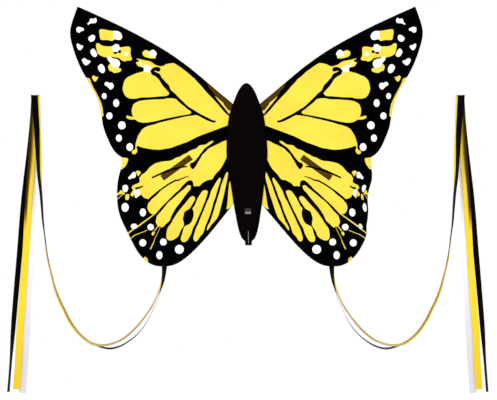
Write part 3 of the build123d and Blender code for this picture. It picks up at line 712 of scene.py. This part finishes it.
# White zones lie on yellow only; white marks lie on any colour.
white_zones = [
    [(-489, 330), (-489, 260), (-450, 260), (-450, 330)],
    [(-383, 186), (-375, 187), (-364, 184), (-357, 180), (-352, 172), (-352, 166),
     (-359, 161), (-368, 160), (-379, 161), (-386, 163), (-383, 167), (-383, 172),
     (-386, 180), (-398, 197), (-391, 195)],
    [(-498, 262), (-484, 264), (-471, 262), (-468, 250), (-472, 238), (-484, 234),
     (-496, 240)],
    [(-517, 212), (-512, 217.5), (-503, 216.5), (-496, 210.5), (-484, 208.5), (-475, 204.5),
     (-470, 198), (-469, 190), (-471, 182), (-475, 177), (-488, 178), (-498, 182),
     (-504, 193), (-509, 197), (-514, 204)],
    [(-361, 255), (-361, 224), (-352, 217), (-340, 217), (-320, 222), (-322, 255)]]
white_marks = [
    [(-590, 338), (-585, 333), (-578, 338), (-559.5, 340), (-554, 345), (-554, 356),
     (-560.5, 360.5), (-565.6, 357), (-576, 358.5), (-581, 354), (-582.5, 346)],
    [(-630, 321.5), (-623, 327.7), (-611, 325.6), (-601.5, 320.5), (-601.5, 313),
     (-611, 310), (-619, 304), (-629, 309)],
    [(-587, 283.6), (-581, 293), (-569.7, 298.4), (-561.5, 295), (-559.5, 286.7),
     (-563.6, 276.4), (-574, 270.7), (-583, 275.4)],
    [(-630, 262), (-623, 266.6), (-616, 261), (-605.6, 259), (-604, 252.8), (-608.7, 245.6),
     (-616, 240), (-625, 245.6)],
    [(-579, 234), (-576, 242.6), (-567.7, 248), (-559.5, 241.5), (-552.3, 225),
     (-555.4, 218), (-561.5, 215), (-571.8, 220)],
    [(-608.7, 208.7), (-598.5, 212.8), (-589, 205.6), (-578, 202.6), (-578, 196.4),
     (-586, 188), (-594, 184), (-601.5, 188), (-609.7, 202.6)],
    [(-549, 184), (-539, 190.7), (-529.7, 186), (-524.6, 176), (-523.6, 165.6),
     (-528.7, 156.4), (-539, 157.4), (-547, 165.6), (-551, 176)],
    [(-527.7, 115.6), (-523.6, 122.8), (-515.4, 125), (-508, 120.8), (-498, 121.8),
     (-491.8, 113.6), (-491.8, 105.4), (-498, 97), (-504, 94.7), (-511, 100),
     (-516.4, 106.4), (-524.6, 110.5)],
    [(-439, -226.7), (-432, -220.5), (-426, -213), (-420, -207), (-411, -209),
     (-409.7, -219.5), (-411, -227.7), (-418, -231.4), (-426, -232), (-432, -236),
     (-438.5, -232.8)],
    [(-460, -260.5), (-453, -255.4), (-443.6, -255.4), (-438.5, -262.6), (-438.5, -272),
     (-443.6, -281), (-453, -283), (-460, -275)],
    [(-418, -275), (-409.7, -271), (-399.5, -272), (-395.4, -281), (-394.4, -291),
     (-401.5, -299.5), (-408.7, -304.6), (-414, -299.5)]]
# White dots as ellipses: (x, z, width, height).
white_dots = [
    (-446.7, 227, 18, 18), (-527, 72, 20, 24), (-483, 46, 24, 31), (-508, -1, 25, 28),
    (-462, -36, 30, 32), (-473, -83, 24, 29), (-433, -116, 27, 31), (-450, -338.5, 29, 35),
    (-384.5, -357, 25, 32), (-417, -408, 26, 22), (-356, -411, 26, 26), (-385, -469, 28, 29),
    (-309, -466, 27, 28), (-323.5, -514.5, 25, 32), (-250, -493, 35, 35)]
black_dots = [(-485.6, 231, 14, 9), (-470, 235.4, 12, 12), (-417, -298, 8, 8)]
# Lines of one colour: (points, width at the start, halfway and at the end).
black_lines = [
    ([(-350, -229), (-333, -221), (-303, -208), (-283, -200), (-260, -194.5), (-240, -190),
      (-222, -187.5)], 6, 9.5, 5),
    ([(-217, -224), (-232, -228.7), (-246.7, -235), (-255, -239), (-264, -239), (-275, -245),
      (-288, -252), (-305, -263.6), (-314, -270)], 3, 6.5, 6),
    ([(-314, -270), (-322, -276), (-334, -287), (-350, -300.5), (-360, -310)], 5, 9.5, 9),
    ([(-384, -260), (-396, -265), (-410, -269)], 4, 7, 9),
    ([(-488, 231), (-470, 235)], 3, 3, 3)]
yellow_lines = [
    ([(-345, -366), (-360.5, -377), (-375, -388), (-389, -398), (-399.5, -406), (-416, -416),
      (-440, -435)], 3.5, 5, 4.5),
    ([(-368.7, -422.6), (-383, -428.7), (-399.5, -435), (-412, -440), (-428, -451)], 2, 2.2, 3.4),
    ([(-322, -407), (-331, -411), (-341, -424)], 2.5, 3, 4),
    ([(-319.5, -409), (-332, -437), (-340, -451), (-342, -460), (-348, -474),
      (-356.4, -491)], 1.2, 1.6, 4),
    ([(-479.5, -308.7), (-470, -300), (-461, -293)], 2, 2, 2)]
backing_patch = [(-214, -144), (-200, -162), (-307, -240), (-320, -222)]
yellow, black, white, brown = range(4)
print_finishes = ["printed_yellow", "printed_black", "printed_white", "backed_yellow"]


def ellipse(x, z, width, height, corners=14):
    angles = np.linspace(0, 2 * math.pi, corners, endpoint=False)
    return np.stack([x + width / 2 * np.cos(angles), z + height / 2 * np.sin(angles)], 1)


def line_outline(points, *widths):
    """The outline of a brushed line: its two sides and pointed ends."""
    line = smooth_line(points, 6)
    along = directions(line)
    place = np.linspace(0, 1, len(line))
    half = np.interp(place, np.linspace(0, 1, len(widths)), widths) / 2
    start, end = line[0] - along[0] * half[0], line[-1] + along[-1] * half[-1]
    return np.concatenate([[start], offset_line(line, half), [end],
                           offset_line(line, -half)[::-1]])


def shrunk(outline, inset):
    """A closed outline drawn in by an inset, for the ink's spread."""
    along = np.roll(outline, -1, 0) - np.roll(outline, 1, 0)
    along /= np.linalg.norm(along, axis=1)[:, None] + 1e-9
    x, z = outline.T
    turn = np.sign((x * np.roll(z, -1) - np.roll(x, -1) * z).sum())
    return outline + leftwards(along) * turn * inset


def print_layers():
    """(colour, outline, under) in painting order, in the sail's own place.

    A layer covers only the colour named by under, or every colour where under is None.
    """
    step, spread = 4.0, 1.0

    def closed(outline):
        return smooth_line(outline, step, closed=True)

    cells = [fore_cell, oval_cell, middle_cell, tip_cell, flash_cell, drop_cell, crown_cell,
             outer_sliver, notch_bit, shoulder_sliver, lower_fan, *ray_cells, *yellow_spots]
    layers = [(yellow, shrunk(closed(cell), spread), None) for cell in cells]
    layers += [(yellow, line_outline(*line), None) for line in yellow_lines]
    layers += [(white, closed(zone), yellow) for zone in white_zones]
    layers += [(white, shrunk(closed(mark), spread), None) for mark in white_marks]
    layers += [(white, shrunk(ellipse(*dot), spread), None) for dot in white_dots]
    layers += [(black, line_outline(*line), None) for line in black_lines]
    layers += [(black, ellipse(*dot), None) for dot in black_dots]
    layers += [(brown, np.array(backing_patch, float), yellow),
               (brown, closed(shoulder_wedge), None)]
    return [(colour, outline + (print_shift, 0), under) for colour, outline, under in layers]


# ---------------------------------------------------------------- sails
def front_outline(node):
    """A flat CAD node's outline seen from the front, as ordered (x, z) points, and its area."""
    flatness, spacing = 0.01, 7
    mesh = node.data
    places = [v.co / metres for v in mesh.vertices]
    front = min(p.y for p in places)
    uses = Counter()
    for polygon in mesh.polygons:
        corners = [places[i] for i in polygon.vertices]
        if all(abs(c.y - front) < flatness for c in corners):
            keys = [(round(c.x, 2), round(c.z, 2)) for c in corners]
            uses.update(frozenset(edge) for edge in zip(keys, keys[1:] + keys[:1]))
    joined = defaultdict(list)
    for edge, count in uses.items():
        if count == 1:
            a, b = edge
            joined[a].append(b)
            joined[b].append(a)
    start = min(joined)
    loop, before, here = [start], None, start
    while True:
        following = next(p for p in joined[here] if p != before)
        if following == start:
            break
        loop.append(following)
        before, here = here, following
    outline = []
    for a, b in zip(loop, loop[1:] + loop[:1]):
        a, b = np.array(a), np.array(b)
        count = max(1, math.ceil(float(np.linalg.norm(b - a)) / spacing))
        outline += [a + (b - a) * k / count for k in range(count)]
    outline = np.array(outline)
    x, z = outline.T
    area = (x * np.roll(z, -1) - np.roll(x, -1) * z).sum() / 2
    return (outline if area > 0 else outline[::-1]), abs(area)


def billow(points):
    """How far the sail stands back at each (x, z): the wind's push, folds and crumples.

    It is held at its leading edge, strut, foot and root, and folds fan out from the pocket.
    """
    push, slack = 7.5, 0.9
    points = np.asarray(points, float)
    x = -np.abs(points[:, 0])
    mirrored = np.stack([x, points[:, 1]], 1)
    from_edge = distance_to(mirrored, leading_edge)
    from_strut = distance_to(mirrored, [hub, strut_end])
    from_foot = distance_to(mirrored, [wing_foot, (wing_foot[0] + 1, wing_foot[1] + 8)])
    free = (ramp(from_edge, 22, 150) * ramp(from_strut, 12, 120) * ramp(-x, 76, 190)
            * ramp(from_foot, 20, 90))
    to_pocket = mirrored - strut_end
    angle = np.arctan2(to_pocket[:, 1], to_pocket[:, 0])
    reach = np.linalg.norm(to_pocket, axis=1)
    folds = np.sin(11 * angle) * ramp(reach, 15, 70) * np.exp(-reach / 190)
    crumple = np.array([roughness_at(a, 0, b, 70) + 0.5 * roughness_at(a, 9, b, 28)
                        for a, b in mirrored])
    loose = ramp(from_edge, 22, 60) * ramp(from_strut, 12, 45) * ramp(-x, 76, 110)
    return push * free + loose * (slack + slack * folds + 0.8 * crumple)


def printed_sheet(outline):
    """The sail cut along its outline and its print: points, faces and each face's colour."""
    layers = print_layers()
    loops = [outline] + [edge for colour, edge, under in layers]
    near = KDTree(sum(len(loop) for loop in loops))
    for i, (x, z) in enumerate(np.concatenate(loops)):
        near.insert((x, z, 0), i)
    near.balance()
    between = []
    everywhere, rippled = (*outline.min(0), *outline.max(0)), (-485, -490, -360, -150)
    row_share, clear_share = 0.87, 0.45
    for pitch, (x_low, z_low, x_high, z_high) in ((11.0, everywhere), (6.0, rippled)):
        for row, z in enumerate(np.arange(z_low, z_high, pitch * row_share)):
            for x in np.arange(x_low + pitch / 2 * (row % 2), x_high, pitch):
                if near.find((x, z, 0))[2] > pitch * clear_share:
                    between.append((x, z))
    places, faces = filled(loops, between)
    centres = places[faces].mean(1)
    kept = inside(centres, outline)
    faces, centres = faces[kept], centres[kept]
    colours = np.full(len(faces), black)
    for colour, loop, under in layers:
        covered = inside(centres, loop)
        if under is not None:
            covered &= colours == under
        colours[covered] = colour
    used, faces = np.unique(faces, return_inverse=True)
    return places[used], faces.reshape(-1, 3), colours


left_outline, sail_area = front_outline(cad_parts["left_sail"])
sail_places, sail_faces, sail_colours = printed_sheet(left_outline)
sail_points = [(x, sail_y + back, z) for (x, z), back in zip(sail_places, billow(sail_places))]
sail_faces, sail_colours = [tuple(face) for face in sail_faces.tolist()], sail_colours.tolist()
sails = {side: add_cloth(f"{side}_sail_cloth",
                         flipped((settled(sail_points, sign), sail_faces, sail_colours), sign),
                         print_finishes, f"{side}_wing", [f"{side}_sail"], 0.35)
         for side, sign in sides.items()}


# ---------------------------------------------------------------- seams: hems and stitches
class Stitches:
    """Sewn rows collected into one mesh for a body."""

    def __init__(self):
        self.points, self.faces = [], []

    def row(self, line, facing, half_height=0.45, pitch=4.2, length=2.7, half_width=0.24):
        """Stitches along a 3D line, tapered at their ends; facing is the cloth's normal there."""
        line = spaced_line(line, pitch)
        facing = np.array(facing, float)
        for a, b in zip(line, line[1:]):
            along = (b - a) / np.linalg.norm(b - a)
            beside = np.cross(along, facing)
            middle = (a + b) / 2
            first = len(self.points)
            for end, narrow in ((-1, 0.45), (-0.55, 1), (0.55, 1), (1, 0.45)):
                for u, v in ((-1, -1), (1, -1), (1, 1), (-1, 1)):
                    self.points.append(middle + along * end * length / 2
                                       + beside * u * half_width * narrow
                                       + facing * v * half_height * (0.6 + 0.4 * narrow))
            self.faces += grid_faces(4, 4, wrap=True, start=first)
            self.faces += [(first + 3, first + 2, first + 1, first),
                           (first + 12, first + 13, first + 14, first + 15)]

    def add(self, name, body, sign=1):
        """All the rows as one piece."""
        shape = flipped((settled(self.points, sign), self.faces), sign)
        return add_cloth(name, shape, ["black_thread"], body)


def on_sail(line, behind):
    """2D points placed on the sail, at a distance behind its middle."""
    return [(x, sail_y + back + behind, z) for (x, z), back in zip(line, billow(line))]


def free_edge():
    """The part of the outline that no rod or body holds, from the tip round to the root."""
    touching, root_x = 1.2, -7
    loose = distance_to(left_outline, smooth_line(leading_edge, 4)) > touching
    loose &= left_outline[:, 0] < root_x
    start = next(i for i in range(len(loose)) if loose[i] and not loose[i - 1])
    turned, loose = np.roll(left_outline, -start, 0), np.roll(loose, -start)
    return turned[:int(np.argmin(loose))]


wing_edge = free_edge()
edge_line = smooth_line(leading_edge, 6)
spar_line = nurbs_line("spar_line", [(x, frame_y, z) for x, z in spar_points], 24)


def along_strut(u, v):
    """(x, z) at u along the lower strut from the hub and v beside it."""
    return (hub[0] + strut_way[0] * u - strut_way[1] * v,
            hub[1] + strut_way[1] * u + strut_way[0] * v)


def make_hem():
    """The free edge's folded hem, behind the sail."""
    rows = [on_sail(offset_line(wing_edge, inset), behind)
            for inset, behind in ((1.0, 0.36), (1.8, 0.42), (6.4, 0.42), (7.0, 0.3))]
    points = [p for row in rows for p in row]
    return points, grid_faces(len(rows), len(wing_edge))


def make_edge_sleeve():
    """The leading edge turned back over the spar and sewn down, as a tunnel."""
    run = run_along(spar_line)
    start, end, step, width = 60.0, run[-1] - 25.0, 4.0, 21.0
    places = np.arange(start, end, step)
    line = np.stack([np.interp(places, run, spar_line[:, k]) for k in (0, 2)], 1)
    to_edge = distance_to(line, edge_line)
    inwards = offset_line(line, 1) - line
    points = []
    for (x, z), (nx, nz), gap in zip(line, inwards, to_edge):
        pucker = 0.35 * math.sin(x * 0.55) + 0.5 * roughness_at(x, 3, z, 16)
        profile = [(-gap, behind_sail_y), (-gap + 0.8, 56.4), (-4.0, 58.6 + pucker),
                   (-3.3, 60.9 + pucker), (-1.3, 62.2 + pucker), (1.4, 62.1 + pucker),
                   (3.5, 60.5 + pucker), (4.5, 58.3), (6.2, 56.4), (9.5, 55.6),
                   (width - gap - 1, 55.3), (width - gap, 55.1)]
        points += [(x + nx * n, y, z + nz * n) for n, y in profile]
    return points, grid_faces(len(line), len(profile))


def make_strut_pocket():
    """A sewn patch with a tunnel for the strut's end, closed at its far end."""
    half = [(1.2, 7.4), (3.2, 6.2), (4.2, 3.5), (5.0, 1.4), (7, 0.5), (10.4, 0.3), (11, 0)]
    profile = [(-v, lift) for v, lift in reversed(half)] + half
    places = [(u, 1.0) for u in np.arange(pocket_start, pocket_end - 2, 3.0)]
    places += [(pocket_end - 0.9, 1.0), (pocket_end - 0.4, 0.6), (pocket_end, 0.05)]
    points = []
    for u, height in places:
        pucker = 0.5 * roughness_at(u, 0, 4, 9)
        for v, lift in profile:
            x, z = along_strut(u, v)
            loose = pucker if lift > 5 and height == 1 else 0
            points.append((x, behind_sail_y + lift * height + loose, z))
    return points, grid_faces(len(places), len(profile))


def rounded_ring(width, depth, corner, steps):
    """A rounded rectangle's corners as points, round the origin."""
    ring = []
    for turn, (cx, cy) in enumerate([(1, 1), (-1, 1), (-1, -1), (1, -1)]):
        for angle in np.radians(np.linspace(0, 90, steps)) + turn * math.pi / 2:
            ring.append((cx * (width / 2 - corner) + corner * math.cos(angle),
                         cy * (depth / 2 - corner) + corner * math.sin(angle)))
    return ring


def make_ribbon_tab():
    """The patch behind the wing's foot, under the ribbons' stitches."""
    pitch, standing = 3, 0.15
    between = [(x, z) for x in np.arange(-tab_width / 2 + pitch, tab_width / 2 - pitch / 2, pitch)
               for z in np.arange(-tab_height / 2 + pitch, tab_height / 2 - pitch / 2, pitch)]
    places, faces = filled([rounded_ring(tab_width, tab_height, 2, 5)], between, kind=1)
    return [(tab_x + x, behind_sail_y + standing * (1 + roughness_at(x, 2, z, 6)), tab_z + z)
            for x, z in places], faces.tolist()


def make_root_strip():
    """The sail's inner margin, sewn to the spine's sleeve."""
    points, columns = [], np.linspace(0, 1, 7)
    heights = np.arange(-273, -26, 6.0)
    for z in heights:
        for u in columns:
            x = -3.0 - 12.0 * u
            points.append((x, 54.95 + 0.7 * (1 - u) ** 3 + 0.12 * roughness_at(x, 5, z, 9), z))
    return points, grid_faces(len(heights), len(columns))


wing_stitches = Stitches()
to_front = (0, -1, 0)
wing_stitches.row(on_sail(offset_line(wing_edge, 5.2), 0.2), to_front)
for inset in (17.5, 19.6):
    wing_stitches.row(on_sail(offset_line(edge_line[8:-4], inset), 0.45), to_front, 0.65)
for v in (-9.2, 9.2):
    ends = along_strut(pocket_start + 2, v), along_strut(pocket_end - 2, v)
    wing_stitches.row([(x, behind_sail_y, z) for x, z in ends], to_front, 1.0)
fine_stitch = {"pitch": 2.6, "length": 1.9}
tab_seams = [[(-w, -h), (w, -h), (w, h), (-w, h), (-w, -h)] for w, h in ((11, 7), (7.8, 3.8))]
tab_seams += [[(8, -4), (-8, 4)], [(-8, -4), (8, 4)]]
for seam in tab_seams:
    wing_stitches.row([(tab_x + u, behind_sail_y - 0.1, tab_z + v) for u, v in seam], to_front,
                      0.8, **fine_stitch)

wing_cloth = [  # (name, shape, finish, slot, CAD nodes, thickness)
    ("hem", make_hem(), "black_hem", "black_tape", [], 0.22),
    ("edge_sleeve", make_edge_sleeve(), "black_cloth", None, ["leading_edge_sleeve"], 0.4),
    ("strut_sleeve", make_strut_pocket(), "black_cloth", None, ["strut_pocket"], 0.4),
    ("tab_patch", make_ribbon_tab(), "black_tape", None, ["ribbon_tab"], 0.5),
]
for side, sign in sides.items():
    wing = f"{side}_wing"
    sewn = [add_cloth(f"{side}_{name}", flipped((settled(points, sign), faces), sign), [finish],
                      wing, [f"{side}_{node}" for node in nodes], thickness)
            for name, (points, faces), finish, slot, nodes, thickness in wing_cloth]
    sewn.append(wing_stitches.add(f"{side}_wing_stitching", wing, sign))
    strip = add_cloth(f"{side}_root_strip", flipped(make_root_strip(), sign), ["black_cloth"],
                      None, thickness=0.3)
    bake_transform(strip)


# ---------------------------------------------------------------- body
body_line = smooth_line(body_stations, 7)


def panel_length(half_width, depth):
    """How far a front panel reaches from its edge seam to the ridge."""
    return math.hypot(half_width - 1, depth)


def panel_point(z, half_width, depth, u, lift):
    """A point on the left front panel: u runs from the edge seam to the ridge."""
    length = panel_length(half_width, depth)
    x = -half_width + (half_width - 1) * u - lift * depth / length
    y = panel_seam_y - depth * u - lift * (half_width - 1) / length
    return x, y, z


def make_body_panel():
    """A front panel, filled a little by the wind, with its turned edge."""
    columns, points, hem_width = 15, [], 12.0
    for z, half_width, depth in body_line:
        length = panel_length(half_width, depth)
        hem = min(hem_width / length, 0.5)  # as a share of the panel, as u is
        across = [0, hem * 0.5, hem - 0.004, hem + 0.004,
                  *np.linspace(hem, 1, columns - 3)[1:]]
        for u in across:
            fullness = 0.035 * length * math.sin(math.pi * min(1, u))
            pucker = 0.35 * math.sin(z * 0.45) * math.exp(-(1 - u) * length / 9)
            crumple = (1.0 * roughness_at(u * length, 7, z, 48) * math.sin(math.pi * u)
                       + 0.35 * roughness_at(u * length, 1, z, 17))
            lift = 0.9 if u < hem else 0.4
            points.append(panel_point(z, half_width, depth, u,
                                      lift + fullness + pucker + crumple))
    faces = grid_faces(len(body_line), columns)
    return points, faces, [int(face[0] % columns < 2) for face in faces]


def make_back_panel():
    """The flat cloth between the edge seams."""
    columns, points = 13, []
    for z, half_width, depth in body_line:
        for u in np.linspace(-1, 1, columns):
            x = u * (half_width - 0.3)
            points.append((x, panel_seam_y + 0.5 + 0.2 * roughness_at(x, 0, z, 30), z))
    return points, grid_faces(len(body_line), columns)


def body_at(z):
    """Half width and ridge depth at a height, as the CAD has them."""
    heights = [station[0] for station in reversed(body_stations)]
    return [float(np.interp(z, heights, [s[k] for s in reversed(body_stations)])) for k in (1, 2)]


def make_ridge_binding():
    """Tape folded over the ridge, between the front panels."""
    points, tape_reach = [], 4.5
    for z, half_width, depth in body_line:
        length = panel_length(half_width, depth)
        reach = min(tape_reach, 0.45 * length)
        ridge_y = panel_seam_y - depth
        slope = ((half_width - 1) / length, depth / length)
        out = 0.9 + 0.1 * roughness_at(0, 0, z, 5)
        left = [(-1 - slope[0] * s - slope[1] * out, ridge_y + slope[1] * s - slope[0] * out, z)
                for s in (reach, reach * 0.5, 0.2)]
        points += [*left, (0, ridge_y - out - 0.3, z), *[(-x, y, h) for x, y, h in reversed(left)]]
    return points, grid_faces(len(body_line), 7)


def make_tow_tab():
    """The doubled tape that carries the tow eyelet, with its hole."""
    ridge_y, hole_radius = panel_seam_y - body_at(0)[1], 4.05
    outline = [(ridge_y + 1, 24), (ridge_y - 3, 16), (-8.0, 7.6), (-9.0, 6.4), (-9.0, -6.4),
               (-8.0, -7.6), (ridge_y - 3, -16), (ridge_y + 1, -24)]
    outline = spaced_line(outline + outline[:1], 1.5)[:-1]
    hole = ellipse(0, 0, 2 * hole_radius, 2 * hole_radius, 32)
    places, faces = filled([outline, hole], [], precision=0.001)
    centres = places[faces].mean(1)
    kept = inside(centres, outline) & ~inside(centres, hole)
    return [(0, y, z) for y, z in places], faces[kept].tolist()


def make_pocket(width, depth, middle_y, open_z, closed_z, seed):
    """A small sewn pocket, open at one end and gathered flat at the other."""
    ring = rounded_ring(width, depth, 2.2, 4)
    rows = [(t, 1.0, 1.0) for t in np.arange(8) / 8]  # (share of its height, size, looseness)
    rows += [(0.97, 0.95, 0.0), (1.0, 0.6, 0.0), (1.0, 0.08, 0.0)]
    points = []
    for t, size, loose in rows:
        z = open_z + (closed_z - open_z) * t
        swell = size * (1 + 0.02 * loose * math.sin(math.pi * t))
        for x, y in ring:
            wobble = 0.25 * loose * roughness_at(x + seed, y, z, 5)
            points.append((x * swell + wobble, middle_y + y * swell, z))
    return points, grid_faces(len(rows), len(ring), wrap=True)


def make_spine_sleeve(bottom_z, top_z):
    """A tube of cloth round the spine, pinched to its seam on the back panel."""
    around, points, spacing, tube_radius, pinch = 20, [], 5, 3.2, 1.5
    heights = np.linspace(bottom_z, top_z, round((top_z - bottom_z) / spacing) + 1)
    for z in heights:
        for k in range(around):
            angle = 2 * math.pi * k / around
            towards_panel = max(0.0, -math.sin(angle))
            radius = tube_radius + pinch * towards_panel ** 8
            if towards_panel < 0.5:
                radius += 0.22 * roughness_at(math.cos(angle) * 9, math.sin(angle) * 9, z, 8) + 0.1
            points.append((radius * math.cos(angle), frame_y + radius * math.sin(angle), z))
    return points, grid_faces(len(heights), around, wrap=True)


def on_ridge(x, z, out):
    """A point over the ridge at x, standing out from the front panels."""
    half_width, depth = body_at(z)
    return (x, panel_seam_y - depth + depth * max(0, abs(x) - 1) / half_width - out, z)


def make_label():
    """A plain woven patch, bent over the ridge: dark, with a pale bar and a pale line."""
    across = np.linspace(-label_half_width, label_half_width, 17)
    down = np.linspace(label_bottom, label_top, 25)
    points = [on_ridge(x, z, 1.9 + 0.6 * math.exp(-abs(x) / 3) + 0.12 * roughness_at(x, 1, z, 4))
              for z in down for x in across]
    faces = grid_faces(len(down), len(across))
    pale = []
    for face in faces:
        x, z = (sum(points[i][k] for i in face) / 4 for k in (0, 2))
        in_bar, in_line = 3 < z - label_bottom < 12.5, 3.5 < label_top - z < 5.5
        pale.append(int(abs(x) < 10 and (in_bar or in_line)))
    return points, faces, pale


def make_twisted_cord(line, radius, turns):
    """Three strands laid round a line, ends included, as one mesh."""
    line = spaced_line(line, 0.8)
    side_way = np.array((1.0, 0, 0))
    front_way = np.cross(directions(line), side_way)
    strand, strands, around = radius * 0.52, 3, 8
    points, faces = [], []
    for k in range(strands):
        first = len(points)
        for i, centre in enumerate(line):
            turn = 2 * math.pi * (k / strands + turns * i / len(line))
            middle = centre + strand * (side_way * math.cos(turn) + front_way[i] * math.sin(turn))
            for j in range(around):
                angle = 2 * math.pi * j / around
                points.append(middle + strand * (side_way * math.cos(angle)
                                                 + front_way[i] * math.sin(angle)))
        faces += grid_faces(len(line), around, wrap=True, start=first)
        last = len(points) - around
        faces += [tuple(reversed(range(first, first + around))), tuple(range(last, last + around))]
    return points, faces


body_stitches = Stitches()
stitched_line, run_length = body_line[2:-2], 6  # a seam turns with the body after so many points
hem_seam, ridge_seam = (9.5, False), (3.2, True)  # (distance, whether that is from the ridge)
for sign in sides.values():
    for distance, from_ridge in (hem_seam, ridge_seam):
        seam = []
        for z, half_width, depth in stitched_line:
            u = min(distance / panel_length(half_width, depth), 0.4)
            x, y, z = panel_point(z, half_width, depth, 1 - u if from_ridge else u, 1.6)
            seam.append((x * sign, y, z))
        for part in range(0, len(seam) - run_length, run_length):
            z, half_width, depth = stitched_line[part + run_length // 2]
            length = panel_length(half_width, depth)
            facing = (-depth / length * sign, -(half_width - 1) / length, 0)
            body_stitches.row(seam[part:part + run_length + 1], facing, 0.5)
for z in (label_bottom + 1.6, label_top - 1.6):
    body_stitches.row([on_ridge(x, z, 2.3) for x in np.linspace(-11, 11, 9)], to_front, 0.4,
                      pitch=2.4, length=1.6)
back_row_y = 54.9
body_stitches.row([(-body_lean * max(0, -z), back_row_y, z) for z in np.arange(-455, 95, 20.0)],
                  to_front, 0.4)  # over the spine, which doesn't lean
tab_stitch = {"half_height": 0.2, "pitch": 2.8, "length": 1.9}
for x in (-1.15, 1.15):
    for z_side in (-1, 1):
        body_stitches.row([(x, 6.0, 14.5 * z_side), (x, -6.8, 6.6 * z_side)], (1, 0, 0),
                          **tab_stitch)
    body_stitches.row([(x, -7.2, -5.5), (x, -7.2, 5.5)], (1, 0, 0), **tab_stitch)
tail_top, tail_bottom = -462, -477.6
for inset in (2.0, 4.0):
    body_stitches.row([(x, 50.2, tail_top - inset) for x in (-10.5, 10.5)], to_front, 0.3,
                      pitch=2.6, length=1.8)
body_stitches.points = leaned(body_stitches.points)


def add_body_cloth(name, shape, finish_names, node, thickness=0.0, lean=True):
    """A piece of the body, on the spine and in place of a CAD node."""
    points, *others = shape
    shape = (leaned(points) if lean else points, *others)
    return add_cloth(name, shape, finish_names, "spine", [node], thickness)


panels = [add_body_cloth(f"{side}_front_panel", flipped(make_body_panel(), sign),
                         ["black_cloth", "black_hem"], f"{side}_body_panel", 0.35)
          for side, sign in sides.items()]
back_panel = add_body_cloth("back_panel", make_back_panel(), ["black_cloth"],
                            "body_back_panel", 0.35)
binding = add_body_cloth("ridge_binding", make_ridge_binding(), ["black_tape"], "ridge_tape", 0.5)
tow_tab = add_body_cloth("tow_tab", make_tow_tab(), ["black_tape"], "ridge_tape", 1.9, lean=False)
edge_round = tow_tab.modifiers.new("rounding", "BEVEL")
edge_round.width, edge_round.segments = 0.3 * metres, 2
edge_round.limit_method = "ANGLE"
tail_pocket = make_pocket(24.2, 11.2, 56.5, tail_top, tail_bottom, seed=0)
tail = add_body_cloth("tail_end_pocket", tail_pocket, ["black_cloth"], "tail_pocket", 0.7)
nose = add_body_cloth("nose_end_pocket", make_pocket(14.4, 8.0, 58.1, 97, 116.6, seed=40),
                      ["black_tape"], "nose_pocket", 0.6, lean=False)
sleeves = [add_body_cloth(f"spine_tunnel_{place}", make_spine_sleeve(*span), ["black_cloth"],
                          f"spine_sleeve_{place}", 0.3, lean=False)
           for place, span in (("upper", (11, 96)), ("lower", (-457, -27)))]
label = add_body_cloth("plain_patch", make_label(), ["label_ground", "grey_label"],
                       "plain_label", 0.45)
cord_route = [on_ridge(0, -426, 1.6), on_ridge(0, -447, 1.6), on_ridge(0, -461, 2.6),
              (0, 45, -467), (0, 50, -471)]
cord_shape = make_twisted_cord(nurbs_line("tail_cord_line", cord_route, 12), radius=0.95, turns=11)
add_body_cloth("tail_cord", cord_shape, ["white_cord"], "tension_cord")
sewn_body = body_stitches.add("body_stitching", "spine")


# ---------------------------------------------------------------- rods, fittings and floor
cad_finishes = {"_rod": "fibreglass_rod", "_spar": "fibreglass_rod", "_strut": "fibreglass_rod",
                "_cap": "black_plastic", "_yoke": "black_plastic", "_eyelet": "black_metal"}
for name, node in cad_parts.items():
    for ending, finish in cad_finishes.items():
        if name.endswith(ending):
            for material_slot in node.material_slots:
                material_slot.material = finishes[finish]

floor_z, floor_reach, floor_sides = -1300.0, 3900.0, 96
floor_rim = [(floor_reach * math.cos(angle), floor_reach * math.sin(angle), floor_z)
             for angle in np.linspace(0, 2 * math.pi, floor_sides, endpoint=False)]
add_mesh("floor", floor_rim, [tuple(range(floor_sides))], ["floor_paint"])
